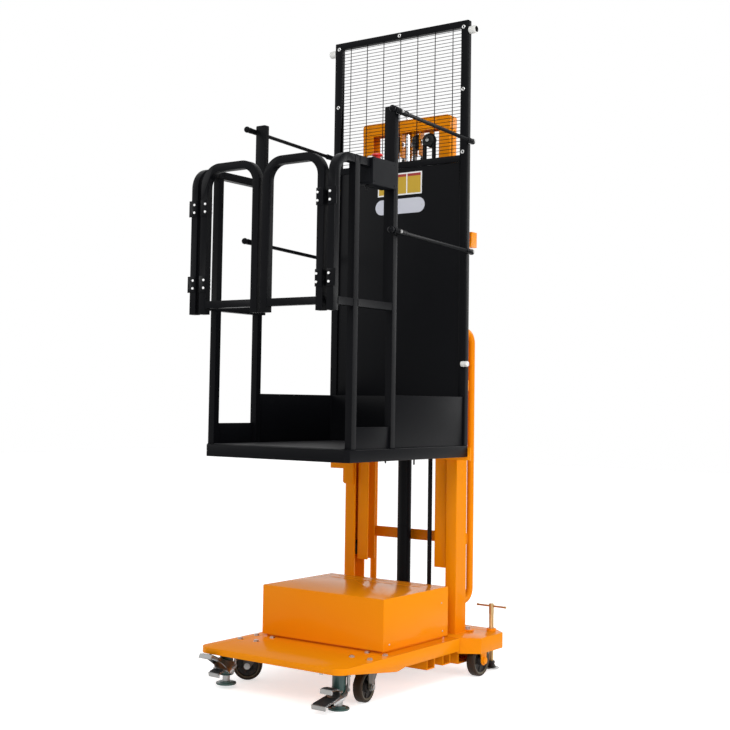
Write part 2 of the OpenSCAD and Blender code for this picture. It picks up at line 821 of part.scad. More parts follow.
module guard_side() {
    x0 = side_x - rail;
    y1 = post_y + 1;
    // front leg, bend and top rail
    box_at(x0, side_x, gate_front, gate_front + rail, gate_bottom, rail_top - bend_r);
    translate([x0, gate_front + bend_r, rail_top - bend_r]) rotate([90, 0, 0]) rotate([0, 90, 0])
        rotate([0, 0, 90]) bent_corner(rail);
    box_at(x0, side_x, gate_front + bend_r, y1, rail_top - rail, rail_top);
    // mid rail
    box_at(x0, side_x, gate_front + rail - 1, y1, mid_z - 12, mid_z + 12);
    // front post on the floor
    box_at(side_x - low_post, side_x, post_front, post_front + low_post, floor_z, rail_top - rail + 1);
    // tall post, wider above the mid rail
    box_at(side_x - low_post, side_x, post_y, post_y + post_d, floor_z, post_top);
    box_at(side_x - 40, side_x, post_y, post_y + post_d, mid_z - 12, post_top);
    // fixed hinge leaves and barrels
    for (z = [hinge_z0, hinge_z1]) {
        box_at(x0 + 2, side_x + 8, gate_front - hinge_leaf, gate_front, z - 27, z + 27);
        hinge_bolts(hinge_x + 18, z);
        for (dz = [-24, 4]) {
            box_at(hinge_x, side_x - 2, gate_front + rail - 1, gate_front + rail + 3, z + dz, z + dz + 20);
            translate([hinge_x, hinge_y, z + dz]) cylinder(r = barrel_hinge_r, h = 20, $fn = 24);
        }
        translate([hinge_x, hinge_y, z - 24]) cylinder(r = 2.5, h = 48, $fn = 24);
    }
}

// pair of bolt heads on a hinge leaf
module hinge_bolts(x, z) {
    for (dz = [-13, 13])
        rod_between_y(x, z + dz, 4, gate_front - hinge_leaf - bolt_head, gate_front - hinge_leaf + 0.5);
}

hinge_low = 100;
hinge_high = 144;
hinge_z0 = gate_bottom + hinge_low;
hinge_z1 = rail_top - hinge_high;
hinge_y = gate_front + rail + 5;
barrel_hinge_r = 5;

module guard_left() {
    color(black) mirror([1, 0, 0]) guard_side();
}

module guard_right() {
    color(black) guard_side();
}

// gate leaf hung at its outer stile
gate_in = 8;
gate_out = hinge_x - 8;

module gate_leaf() {
    y0 = gate_front;
    difference() {
        union() {
            box_at(gate_in, gate_in + rail, y0, y0 + rail, gate_bottom, rail_top - bend_r);
            box_at(gate_out - rail, gate_out, y0, y0 + rail, gate_bottom, rail_top - bend_r);
            box_at(gate_in + bend_r, gate_out - bend_r, y0, y0 + rail, rail_top - rail, rail_top);
            translate([gate_out - bend_r, y0 + rail, rail_top - bend_r]) rotate([90, 0, 0]) bent_corner(rail);
            translate([gate_in + bend_r, y0 + rail, rail_top - bend_r]) rotate([90, 0, 0]) rotate([0, 0, 90])
                bent_corner(rail);
            box_at(gate_in + rail - 1, gate_out - rail + 1, y0 + 1, y0 + rail - 1, mid_z - 12, mid_z + 12);
            for (z = [hinge_z0, hinge_z1]) {
                box_at(gate_out - 28, gate_out - 1, y0 - hinge_leaf, y0 + 1, z - 27, z + 27);
                hinge_bolts(hinge_x - 30, z);
                box_at(gate_out - 24, hinge_x, y0 + rail - 1, y0 + rail + 3, z - 3, z + 3);
                translate([hinge_x, hinge_y, z - 3]) cylinder(r = barrel_hinge_r, h = 6, $fn = 24);
            }
        }
        for (z = [hinge_z0, hinge_z1])
            translate([hinge_x, hinge_y, z - 10]) cylinder(r = 2.9, h = 20, $fn = 24);
    }
}

module gate_left() {
    color(black) mirror([1, 0, 0]) gate_leaf();
}

module gate_right() {
    color(black) gate_leaf();
}

// slim bars along the outside, from a ball ahead of each tall post to the shield's uprights
bar_r = 6.5;
bar_drop = 2.3;
bar_x = side_x + 13;
bar_y0 = post_y - 34;
bar_end = shield_y + stile_d / 2;
bar_len = (bar_end - bar_y0) / cos(bar_drop);
stud_r = 5;
socket_r = 9.5;
front_socket = 72;
rear_socket = 34;
high_bar = 14;
low_bar = 708;
BAR_Z = [post_top - high_bar, floor_z + low_bar];

module bar_part(r, y, l) {
    translate([0, y, 0]) rotate([-90, 0, 0]) cylinder(r = r, h = l, $fn = 32);
}

module guard_bars() {
    color(black)
        both_sides() for (z = BAR_Z) {
            translate([bar_x, bar_y0, z]) rotate([-bar_drop, 0, 0]) {
                sphere(r = 11, $fn = 32);
                bar_part(bar_r, 0, bar_len);
                bar_part(socket_r, 14, front_socket);
                bar_part(socket_r, bar_len - rear_socket, rear_socket + 8);
            }
            for (y = [post_y + post_d / 2, bar_end])
                rod_between_x(y, z - (y - bar_y0) * tan(bar_drop), stud_r, side_x + 0.3, bar_x);
        }
}

// shield frame of square tube
module shield_frame() {
    color(black) {
        both_sides() box_at(side_x - stile_w, side_x, shield_y, shield_y + stile_d, floor_z, shield_top);
        box_at(-side_x, side_x, shield_y, shield_y + stile_d, shield_top - 25, shield_top);
        box_at(-side_x + stile_w - 1, side_x - stile_w + 1, shield_y + 2, shield_y + stile_d, panel_top - 25, panel_top);
    }
}

screen_x = side_x - stile_w;
screen_z0 = panel_top;
screen_z1 = shield_top - 25;
screen_y = shield_y + 8;

// welded screen: level wires close together, upright wires far apart
module shield_screen() {
    h = screen_z1 - screen_z0;
    color(black) translate([0, screen_y + wire_d, 0]) rotate([90, 0, 0]) linear_extrude(wire_d) {
        for (i = [-3:3])
            translate([i * wire_pitch_x - wire_d / 2, screen_z0]) square([wire_d, h]);
        for (z = [wire_pitch_z : wire_pitch_z : h - wire_d])
            translate([-screen_x, screen_z0 + z - level_wire_d / 2]) square([2 * screen_x, level_wire_d]);
    }
}

module shield_panel() {
    color(black) box_at(-screen_x + 0.3, screen_x - 0.3, shield_y + 6, shield_y + 8, floor_z + 0.3, panel_top - 25.3);
}

module shield_knobs() {
    color([0.9, 0.9, 0.9]) both_sides() rod_between_x(shield_y + 12, shield_top - 37, 14, side_x + 0.3, side_x + 28);
}

// control box round the right top rail, with its stop button
ctrl_y1 = post_y - 1;
ctrl_y0 = ctrl_y1 - 132;
ctrl_z0 = rail_top - 81;
ctrl_z1 = rail_top + 4;
ctrl_out = 9;

module control_box() {
    color(black)
        difference() {
            box_at(side_x - 50, side_x + ctrl_out, ctrl_y0, ctrl_y1, ctrl_z0, ctrl_z1);
            box_at(side_x - rail - 0.3, side_x + 0.3, ctrl_y0 - 1, ctrl_y1 + 1, rail_top - rail - 0.3, rail_top + 0.3);
        }
}

module stop_button() {
    color([0.8, 0.1, 0.1]) {
        translate([side_x - 34, ctrl_y0 + 48, ctrl_z1]) cylinder(r = 10, h = 12, $fn = 32);
        translate([side_x - 34, ctrl_y0 + 48, ctrl_z1 + 10]) cylinder(r = 19, h = 11, $fn = 32);
    }
}

// blank label plates on the panel: left edge, width, underside height, height
lab_x = 0;
lab_w = 1;
lab_z = 2;
lab_h = 3;
LABELS = [[-91, 195, -125, 83], [-101, 218, -194, 56]];

module label_plates() {
    color([0.85, 0.8, 0.4]) translate([0, 0, panel_top]) {
        l = LABELS[0];
        box_at(l[lab_x], l[lab_x] + l[lab_w], shield_y + 4.7, shield_y + 5.7, l[lab_z], l[lab_z] + l[lab_h]);
        m = LABELS[1];
        translate([m[lab_x] + m[lab_h] / 2, shield_y + 5.7, m[lab_z] + m[lab_h] / 2]) rotate([90, 0, 0])
            linear_extrude(1) union() {
                circle(r = m[lab_h] / 2, $fn = 48);
                translate([m[lab_w] - m[lab_h], 0]) circle(r = m[lab_h] / 2, $fn = 48);
                translate([0, -m[lab_h] / 2]) square([m[lab_w] - m[lab_h], m[lab_h]]);
            }
    }
}

deck();
underframe();
outriggers();
power_box();
battery_pack();
outer_rails();
mast_ties();
lift_barrel();
cable_riser();
rear_runs();
push_handles();
caster_plates();
wheel_brackets();
floor_locks();
lock_pedals();
inner_rails();
mast_head();
mast_rollers();
chain_wraps();
lift_rod();
front_runs();
carriage_frame();
carriage_rollers();
platform_floor();
toe_boards();
guard_left();
guard_right();
guard_bars();
shield_frame();
shield_screen();
shield_panel();
shield_knobs();
control_box();
stop_button();
label_plates();
gate_left();
gate_right();
fork_left();
fork_right();
front_wheel_left();
front_wheel_right();
rear_wheel_left();
rear_wheel_right();
jack_left();
jack_right();
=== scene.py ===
import json
import math

import bmesh
import bpy
from mathutils import Matrix, Vector


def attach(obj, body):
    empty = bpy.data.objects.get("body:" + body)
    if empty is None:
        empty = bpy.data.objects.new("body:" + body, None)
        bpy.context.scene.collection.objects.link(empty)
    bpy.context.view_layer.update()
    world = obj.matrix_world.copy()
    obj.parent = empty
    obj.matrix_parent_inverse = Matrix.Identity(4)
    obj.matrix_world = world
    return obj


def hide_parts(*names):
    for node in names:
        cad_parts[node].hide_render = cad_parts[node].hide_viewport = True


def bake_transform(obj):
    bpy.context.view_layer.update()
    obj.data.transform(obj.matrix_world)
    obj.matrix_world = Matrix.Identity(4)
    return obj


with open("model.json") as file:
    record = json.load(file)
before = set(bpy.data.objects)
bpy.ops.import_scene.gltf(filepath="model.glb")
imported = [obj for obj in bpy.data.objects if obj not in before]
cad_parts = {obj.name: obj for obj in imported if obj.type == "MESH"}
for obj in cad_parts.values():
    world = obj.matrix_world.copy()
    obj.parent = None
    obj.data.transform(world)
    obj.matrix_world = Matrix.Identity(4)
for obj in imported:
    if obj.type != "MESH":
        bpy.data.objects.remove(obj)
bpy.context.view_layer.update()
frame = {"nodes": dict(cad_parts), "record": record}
mm = 0.001
scene = bpy.context.scene
scene.view_settings.view_transform = "Standard"


def at(x, y, z):
    return Vector((x, y, z)) * mm


# the camera stands where the photograph was taken
camera = {
    "place": (2610.8, -3598.8, 960.2),
    "turn": 36.13,
    "pitch": 3.76,
    "roll": 0.90,
    "lens": 62.67,
    "shift": (0.0245, -0.0667),
}


def addCamera():
    a, e, r = (math.radians(camera[k]) for k in ("turn", "pitch", "roll"))
    forward = Vector((-math.sin(a) * math.cos(e), math.cos(a) * math.cos(e), math.sin(e)))
    right = Vector((math.cos(a), math.sin(a), 0))
    up = right.cross(forward)
    tiltedRight = math.cos(r) * right + math.sin(r) * up
    tiltedUp = math.cos(r) * up - math.sin(r) * right
    data = bpy.data.cameras.new("photoCamera")
    data.sensor_width = 36
    data.lens = camera["lens"]
    data.shift_x, data.shift_y = camera["shift"]
    data.clip_end = 60
    eye = bpy.data.objects.new("photoCamera", data)
    turn = Matrix((tiltedRight, tiltedUp, -forward)).transposed().to_4x4()
    eye.matrix_world = Matrix.Translation(at(*camera["place"])) @ turn
    scene.collection.objects.link(eye)
    scene.camera = eye


addCamera()
print("camera set")

# soft studio: name, place in metres, size, watts, shown in reflections
studio = {
    "lamps": (
        ("keyLamp", (1.5, -3.6, 3.9), 2.4, 95, True),
        ("rightLamp", (4.2, -0.6, 1.5), 2.2, 78, False),
        ("leftLamp", (-4.0, -1.6, 1.8), 2.4, 25, True),
        ("backLamp", (1.6, 3.8, 2.6), 2.4, 45, True),
    ),
    "aim": (0, 0, 1.0),
    "skyStrength": 0.50,
    "floorSize": 14,
}


def addStudio():
    for name, place, size, watts, mirrored in studio["lamps"]:
        data = bpy.data.lights.new(name, "AREA")
        data.shape = "SQUARE"
        data.size = size
        data.energy = watts
        lamp = bpy.data.objects.new(name, data)
        lamp.location = place
        lamp.rotation_euler = (Vector(studio["aim"]) - Vector(place)).to_track_quat("-Z", "Y").to_euler()
        lamp.visible_glossy = mirrored
        scene.collection.objects.link(lamp)


addStudio()


class Field:
    # one socket of a node tree, with the maths that shading needs

    def __init__(self, tree, socket=None):
        self.tree, self.socket = tree, socket

    def node(self, kind, settings=None, inputs=None, output=0):
        made = self.tree.nodes.new(kind)
        for key, value in (settings or {}).items():
            if key == "stops":
                ramp = made.color_ramp
                while len(ramp.elements) < len(value):
                    ramp.elements.new(0.5)
                for stop, (place, colour) in zip(ramp.elements, value):
                    stop.position, stop.color = place, colour
            else:
                setattr(made, key, value)
        for key, value in (inputs or {}).items():
            if isinstance(value, Field):
                self.tree.links.new(value.socket, made.inputs[key])
            else:
                made.inputs[key].default_value = value
        return Field(self.tree, made.outputs[output])

    def maths(self, operation, first, second=0.0):
        return self.node("ShaderNodeMath", {"operation": operation}, {0: first, 1: second})

    def power(self, value):
        return self.maths("POWER", self, value)

    def __add__(self, other):
        return self.maths("ADD", self, other)

    def __sub__(self, other):
        return self.maths("SUBTRACT", self, other)

    def __rsub__(self, other):
        return self.maths("SUBTRACT", other, self)

    def __mul__(self, other):
        return self.maths("MULTIPLY", self, other)

    def __truediv__(self, other):
        return self.maths("DIVIDE", self, other)

    __radd__ = __add__
    __rmul__ = __mul__

    def clamped(self):
        return self.node("ShaderNodeClamp", {}, {0: self})

    def place(self):
        return self.node("ShaderNodeTexCoord", output="Object")

    def grain(self, scale, detail=3.0, rough=0.5, stretch=None, output=0):
        where = self.place()
        if stretch:
            where = self.node("ShaderNodeMapping", {}, {0: where, 3: stretch})
        return self.node(
            "ShaderNodeTexNoise", {}, {"Vector": where, "Scale": scale, "Detail": detail, "Roughness": rough}, output
        )

    def mix(self, amount, first, second):
        return self.node("ShaderNodeMix", {"data_type": "RGBA"}, {0: amount, 6: first, 7: second}, 2)

    def bump(self, height, strength, distance):
        return self.node("ShaderNodeBump", {}, {"Height": height, "Strength": strength, "Distance": distance})

    def height(self):
        return self.node("ShaderNodeSeparateXYZ", {}, {0: self.place()}, "Z")


def colour(red, green, blue):
    return (red, green, blue, 1.0)


finishes = {}


def finish(name, fixed, varied):
    # fixed: values set on the shader; varied: a function that gives the inputs that change over the surface
    material = bpy.data.materials.new(name)
    material.use_nodes = True
    tree = material.node_tree
    shader = tree.nodes["Principled BSDF"]
    for key, value in fixed.items():
        shader.inputs[key].default_value = value
    for key, field in varied(Field(tree)).items():
        tree.links.new(field.socket, shader.inputs[key])
    material.diffuse_color = fixed.get("Base Color", (0.5, 0.5, 0.5, 1))
    finishes[name] = material
    return material


def paint(name, base, shade, rough, peel=0.06, coat=0.35, clear=0.18, shine=0.5, dust=0.05):
    # sprayed enamel or powder coat: slight tone drift, orange peel, dust that gathers low down

    def varied(f):
        drift = f.grain(3.2, 4.0)
        specks = f.grain(210, 2.0)
        low = (1.0 - f.height() / 0.5).clamped() * f.grain(9, 5.0)
        tone = f.mix(drift, colour(*base), colour(*shade))
        dusty = f.mix((low * dust).clamped(), tone, colour(0.42, 0.38, 0.33))
        return {
            "Base Color": dusty,
            "Roughness": (f.grain(26, 4.0) * 0.10 + (rough - 0.05) + low * 0.12).clamped(),
            "Normal": f.bump(specks, peel, 0.0006),
        }

    finish(name, {"Coat Weight": coat, "Coat Roughness": clear, "Specular IOR Level": shine}, varied)


def metal(name, base, shade, rough, scale=60, metallic=1.0, stretch=None):

    def varied(f):
        streaks = f.grain(scale, 4.0, 0.6, stretch)
        return {
            "Base Color": f.mix(f.grain(18, 4.0), colour(*base), colour(*shade)),
            "Roughness": (streaks * 0.16 + (rough - 0.08)).clamped(),
            "Normal": f.bump(streaks, 0.08, 0.0004),
        }

    finish(name, {"Metallic": metallic}, varied)


def moulded(name, base, shade, rough, scale=420, strength=0.12, shine=0.5):

    def varied(f):
        return {
            "Base Color": f.mix(f.grain(7, 3.0), colour(*base), colour(*shade)),
            "Roughness": (f.grain(40, 3.0) * 0.14 + (rough - 0.07)).clamped(),
            "Normal": f.bump(f.grain(scale, 2.0), strength, 0.0003),
        }

    finish(name, {"Specular IOR Level": shine}, varied)


paint("orangeEnamel", (0.88, 0.278, 0.003), (0.82, 0.250, 0.002), 0.18, peel=0.02, coat=0.05, clear=0.03, shine=0.03, dust=0.01)
paint("blackCoat", (0.0028, 0.0030, 0.0038), (0.0040, 0.0042, 0.0052), 0.38, peel=0.10, coat=0.0, shine=0.06, dust=0.003)
paint("wireCoat", (0.0028, 0.0030, 0.0038), (0.0040, 0.0042, 0.0052), 0.55, peel=0.02, coat=0.0, shine=0.05, dust=0.0)
paint("greenEnamel", (0.014, 0.070, 0.060), (0.009, 0.044, 0.040), 0.36, coat=0.3)
paint("forkPaint", (0.045, 0.036, 0.022), (0.030, 0.026, 0.018), 0.38)
metal("zincPlate", (0.60, 0.61, 0.60), (0.48, 0.49, 0.50), 0.34)
metal("yellowZinc", (0.62, 0.43, 0.20), (0.48, 0.33, 0.17), 0.32)
metal("hardChrome", (0.80, 0.81, 0.83), (0.72, 0.73, 0.75), 0.12, 300)
metal("oiledSteel", (0.10, 0.095, 0.09), (0.05, 0.048, 0.045), 0.36, 90, 0.85)
metal("boltZinc", (0.58, 0.58, 0.57), (0.46, 0.46, 0.46), 0.30)
# near-white, half-metallic zinc for the hinge bolts: its lightness is a painted highlight, not the zinc's own colour
metal("brightZinc", (0.94, 0.94, 0.93), (0.84, 0.84, 0.84), 0.42, metallic=0.35)
metal("agedZinc", (0.42, 0.42, 0.41), (0.26, 0.26, 0.26), 0.36, 80)
metal("castIron", (0.022, 0.018, 0.016), (0.012, 0.010, 0.009), 0.50, 140, 0.6)
moulded("wheelRubber", (0.030, 0.017, 0.009), (0.022, 0.013, 0.008), 0.48, shine=0.2)
moulded("wheelRing", (0.075, 0.058, 0.026), (0.055, 0.043, 0.022), 0.46)
moulded("cableRubber", (0.004, 0.004, 0.005), (0.006, 0.006, 0.007), 0.50, shine=0.12)
moulded("nylonGrey", (0.012, 0.012, 0.012), (0.008, 0.008, 0.008), 0.45, shine=0.2)
moulded("boxPlastic", (0.0055, 0.006, 0.0075), (0.008, 0.0085, 0.010), 0.5, shine=0.05)
moulded("knobWhite", (0.74, 0.74, 0.71), (0.64, 0.64, 0.62), 0.38)
moulded("buttonRed", (0.62, 0.016, 0.014), (0.52, 0.012, 0.012), 0.28, 200, 0.04)
moulded("capPlastic", (0.004, 0.004, 0.005), (0.006, 0.006, 0.007), 0.45, 260, 0.05, shine=0.12)
moulded("padRubber", (0.012, 0.013, 0.014), (0.018, 0.019, 0.020), 0.55)
moulded("labelPlate", (0.56, 0.57, 0.63), (0.52, 0.53, 0.60), 0.34, 100, 0.03)
moulded("labelWhite", (0.80, 0.80, 0.79), (0.76, 0.76, 0.75), 0.40, 100, 0.03)
moulded("labelYellow", (0.52, 0.335, 0.030), (0.47, 0.30, 0.028), 0.40, 100, 0.03, 0.3)
moulded("labelRed", (0.30, 0.018, 0.012), (0.25, 0.016, 0.012), 0.40, 100, 0.03)


def studs(name, base, rough, pitch):
    # rubber with a square grid of low round studs

    def varied(f):
        reach = f.node("ShaderNodeTexVoronoi", {}, {"Vector": f.place(), "Scale": 1000 / pitch, "Randomness": 0.0})
        stud = (1.0 - reach * 2.4).clamped().power(0.35)
        return {
            "Base Color": f.mix(f.grain(6, 4.0), colour(*base), colour(*(1.5 * c for c in base))),
            "Roughness": (f.grain(30, 3.0) * 0.16 + (rough - 0.08)).clamped(),
            "Normal": f.bump(stud, 0.5, 0.002),
        }

    finish(name, {"Specular IOR Level": 0.35}, varied)


studs("studRubber", (0.010, 0.010, 0.011), 0.6, 24)
print("finishes made:", len(finishes))


def addFloor():
    size = studio["floorSize"]
    b = bmesh.new()
    bmesh.ops.create_grid(b, x_segments=1, y_segments=1, size=size)
    mesh = bpy.data.meshes.new("studioFloor")
    b.to_mesh(mesh)
    b.free()
    floor = bpy.data.objects.new("studioFloor", mesh)
    scene.collection.objects.link(floor)
    material = bpy.data.materials.new("paleFloor")
    material.use_nodes = True
    tree = material.node_tree
    f = Field(tree)
    out = tree.nodes["Material Output"]
    lit = tree.nodes["Principled BSDF"]
    lit.inputs["Base Color"].default_value = (0.86, 0.86, 0.86, 1)
    lit.inputs["Roughness"].default_value = 0.7
    lit.inputs["Emission Color"].default_value = (1, 1, 1, 1)
    rays = f.node("ShaderNodeLightPath", output="Is Camera Ray") * 1.0
    rays = (rays + f.node("ShaderNodeLightPath", output="Is Glossy Ray") * 0.6).clamped()
    tree.links.new((rays * 0.62).socket, lit.inputs["Emission Strength"])
    tree.links.new(lit.outputs[0], out.inputs[0])
    mesh.materials.append(material)


def addSky():
    world = bpy.data.worlds.new("studioSky")
    world.use_nodes = True
    scene.world = world
    tree = world.node_tree
    f = Field(tree)
    seen = f.node("ShaderNodeLightPath", output="Is Camera Ray")
    seen = (seen + f.node("ShaderNodeLightPath", output="Is Glossy Ray")
            + f.node("ShaderNodeLightPath", output="Is Transmission Ray")).clamped()
    sky = tree.nodes["Background"]
    sky.inputs["Color"].default_value = (1, 1, 1, 1)
    strength = seen * (1.0 - studio["skyStrength"]) + studio["skyStrength"]
    tree.links.new(strength.socket, sky.inputs["Strength"])


addFloor()
addSky()
print("studio set")


bodyOf = {node: body for body, nodes in frame["record"]["behaviour"]["bodies"].items() for node in nodes}


def piece(name, b, material, body, stands=(), smooth=40, bevel=0.0, segments=2):
    # turns a bmesh into a finished object that rides on a body
    mesh = bpy.data.meshes.new(name)
    for face in b.faces:
        face.smooth = True
    if not bevel:
        limit = math.radians(smooth)
        for edge in b.edges:
            if len(edge.link_faces) == 2 and edge.calc_face_angle(0) > limit:
                edge.smooth = False
    b.to_mesh(mesh)
    b.free()
    made = bpy.data.objects.new(name, mesh)
    scene.collection.objects.link(made)
    names = material if isinstance(material, (list, tuple)) else [material]
    for one in names:
        mesh.materials.append(finishes[one])
    if bevel:
        edge = made.modifiers.new("edges", "BEVEL")
        edge.width = bevel * mm
        edge.segments = segments
        edge.limit_method = "ANGLE"
        edge.angle_limit = math.radians(smooth)
        edge.harden_normals = True
        edge.use_clamp_overlap = True
    if body:
        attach(made, body)
    if stands:
        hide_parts(*stands)
    return made


def nodeMesh(node):
    # a merged copy of a CAD node, with its flat faces whole
    b = bmesh.new()
    b.from_mesh(frame["nodes"][node].data)
    bmesh.ops.remove_doubles(b, verts=b.verts, dist=0.00002)
    bmesh.ops.dissolve_limit(b, angle_limit=math.radians(0.6), verts=b.verts, edges=b.edges)
    return b


def camel(name):
    first, *rest = name.split("_")
    return first + "".join(word.capitalize() for word in rest)


# node: finish, edge radius in mm
dressed = {
    "deck": ("orangeEnamel", 1.6),
    "underframe": ("orangeEnamel", 1.6),
    "outriggers": ("orangeEnamel", 1.6),
    "power_box": ("orangeEnamel", 1.2),
    "battery_pack": ("boxPlastic", 4.0),
    "outer_rails": ("orangeEnamel", 2.6),
    "mast_ties": ("orangeEnamel", 1.2),
    "lift_barrel": ("blackCoat", 1.0),
    "cable_riser": ("cableRubber", 0.8),
    "push_handles": ("orangeEnamel", 0.6),
    "caster_plates": ("zincPlate", 0.8),
    "wheel_brackets": ("orangeEnamel", 0.6),
    "floor_locks": ("greenEnamel", 1.0),
    "lock_pedals": ("zincPlate", 0.8),
    "inner_rails": ("orangeEnamel", 2.2),
    "mast_head": ("orangeEnamel", 1.2),
    "mast_rollers": ("nylonGrey", 1.0),
    "lift_rod": ("hardChrome", 0.6),
    "carriage_frame": ("orangeEnamel", 1.2),
    "carriage_rollers": ("nylonGrey", 1.2),
    "platform_floor": ("blackCoat", 2.5),
    "toe_boards": ("blackCoat", 0.8),
    "guard_left": ("blackCoat", 4.0),
    "guard_right": ("blackCoat", 4.0),
    "guard_bars": ("blackCoat", 1.0),
    "shield_frame": ("blackCoat", 3.0),
    "shield_panel": ("blackCoat", 0.4),
    "shield_knobs": ("knobWhite", 3.0),
    "control_box": ("boxPlastic", 2.0),
    "gate_left": ("blackCoat", 4.0),
    "gate_right": ("blackCoat", 4.0),
    "fork_left": ("forkPaint", 0.8),
    "fork_right": ("forkPaint", 0.8),
}

boltedNodes = {"nodes": ("guard_left", "guard_right", "gate_left", "gate_right"), "ahead": -507.6}
for node, (look, edge) in dressed.items():
    shape = nodeMesh(node)
    if node in boltedNodes["nodes"]:  # the hinge bolts' heads are zinc, made near-white as a painted highlight
        for face in shape.faces:
            face.material_index = int(face.calc_center_median().y < boltedNodes["ahead"] * mm)
        look = [look, "brightZinc"]
    piece(camel(node) + "Skin", shape, look, bodyOf[node], (node,), 35, edge)
print("nodes dressed:", len(dressed))

# shared forms, in mm, each added to a bmesh and given a material index
def marked(b, verts, index):
    for face in {face for vert in verts for face in vert.link_faces}:
        face.material_index = index
    return verts


aims = {"X": Matrix.Rotation(math.pi / 2, 4, "Y"), "Y": Matrix.Rotation(-math.pi / 2, 4, "X"), "Z": Matrix.Identity(4)}


def bar(b, radius, length, centre, axis="Z", steps=24, tip=None, index=0, turn=None):
    spot = Matrix.Translation(at(*centre)) @ (turn or aims[axis])
    end = radius if tip is None else tip
    made = bmesh.ops.create_cone(b, cap_ends=True, segments=steps, radius1=radius * mm, radius2=end * mm,
                                 depth=length * mm, matrix=spot)
    return marked(b, made["verts"], index)


def block(b, low, high, index=0, turn=None):
    size = [h - l for l, h in zip(low, high)]
    centre = [(l + h) / 2 for l, h in zip(low, high)]
    spot = Matrix.Translation(at(*centre)) @ (turn or Matrix.Identity(4)) @ Matrix.Diagonal((*at(*size), 1))
    return marked(b, bmesh.ops.create_cube(b, size=1, matrix=spot)["verts"], index)


def ball(b, radius, centre, index=0, squash=(1, 1, 1), fine=2):
    spot = Matrix.Translation(at(*centre)) @ Matrix.Diagonal((*squash, 1))
    made = bmesh.ops.create_icosphere(b, subdivisions=fine, radius=radius * mm, matrix=spot)
    return marked(b, made["verts"], index)


def lathe(b, outline, centre, axis="Z", steps=48, index=0, turn=None):
    # outline: pairs of radius and distance along the axis
    before = set(b.verts)
    chain = [b.verts.new((r * mm, 0, a * mm)) for r, a in outline]
    edges = [b.edges.new(pair) for pair in zip(chain, chain[1:])]
    bmesh.ops.spin(b, geom=chain + edges, cent=(0, 0, 0), axis=(0, 0, 1), dvec=(0, 0, 0),
                   angle=2 * math.pi, steps=steps, use_merge=True)
    bmesh.ops.remove_doubles(b, verts=[v for v in b.verts if v not in before], dist=1e-7)
    made = [v for v in b.verts if v not in before]
    spot = Matrix.Translation(at(*centre)) @ (turn or aims[axis])
    bmesh.ops.transform(b, matrix=spot, verts=made)
    faces = list({face for vert in made for face in vert.link_faces})
    bmesh.ops.recalc_face_normals(b, faces=faces)
    return marked(b, made, index)


def hexBolt(b, across, height, seat, axis="Z", way=1, index=0, washer=0.0):
    # head on its washer; seat is the point on the surface that it clamps
    step = {"X": Vector((1, 0, 0)), "Y": Vector((0, 1, 0)), "Z": Vector((0, 0, 1))}[axis] * way
    seat = Vector(seat)
    if washer:
        bar(b, across * 0.62 + 1.2, washer, seat + step * washer / 2, axis, 24, index=index)
    bar(b, across * 0.577, height, seat + step * (washer + height / 2), axis, 6, index=index)
    bar(b, across * 0.36, 0.5, seat + step * (washer + height + 0.2), axis, 18, index=index)


def panScrew(b, radius, seat, axis="Z", way=1, index=0, cup=0.0):
    profile = [(0, 0.55), (0.45, 0.5), (0.8, 0.34), (1.0, 0.0)]
    turn = aims[axis] if way > 0 else aims[axis] @ Matrix.Rotation(math.pi, 4, "X")
    if cup:
        ring = [(radius + cup, 0), (radius + cup * 0.7, 1.1), (radius * 0.95, 0.8), (radius * 0.9, 0)]
        lathe(b, ring, seat, steps=24, index=index, turn=turn)
    lathe(b, [(radius * r, radius * h + 0.5) for r, h in profile] + [(radius, 0)], seat, steps=20, index=index, turn=turn)


def seam(b, start, end, radius=1.6, index=0):
    # weld bead: overlapping flattened drops along a line
    start, end = Vector(start), Vector(end)
    count = max(2, round((end - start).length / (radius * 1.5)))
    for k in range(count + 1):
        spot = start.lerp(end, k / count)
        ball(b, radius, spot, index, (1, 1, 0.9 + 0.1 * (k % 2)), 1)


def boxSeam(b, x0, x1, y0, y1, z, radius=1.6, index=0):
    corners = [(x0, y0, z), (x1, y0, z), (x1, y1, z), (x0, y1, z)]
    for first, second in zip(corners, corners[1:] + corners[:1]):
        seam(b, first, second, radius, index)


# planes of the truck in mm, in the shared frame
truck = {
    "shield": 281.5, "floorFront": -418.5, "gateFront": -504.5, "postFront": -181.5, "postBack": -157.5,
    "carriage": 306.5, "mastMid": 355.5, "tie": 390.5, "deckFront": -427.5, "boxFront": -144.5, "boxBack": 253.5,
    "floorTop": 805.0, "deckTop": 139.0, "boxTop": 314.0, "railTop": 1731.0, "postTop": 1925.0,
    "shieldTop": 2335.0, "panelTop": 1845.0, "sheave": 1925.0, "sideX": 298.0,
}
shield, mastMid, sideX = truck["shield"], truck["mastMid"], truck["sideX"]

# wheels: rubber tread, pale ring beside it and a dished iron centre with ribs
wheels = {
    "front_wheel_left": (-235, -198.5, 50, -55, 28),
    "front_wheel_right": (235, -198.5, 50, 7, 28),
    "rear_wheel_left": (-320, 351.5, 56, 0, 0),
    "rear_wheel_right": (320, 351.5, 56, 0, 0),
}
wheelForm = {"half": 16, "ribs": 6, "ribDepth": 2.6, "steps": 72}


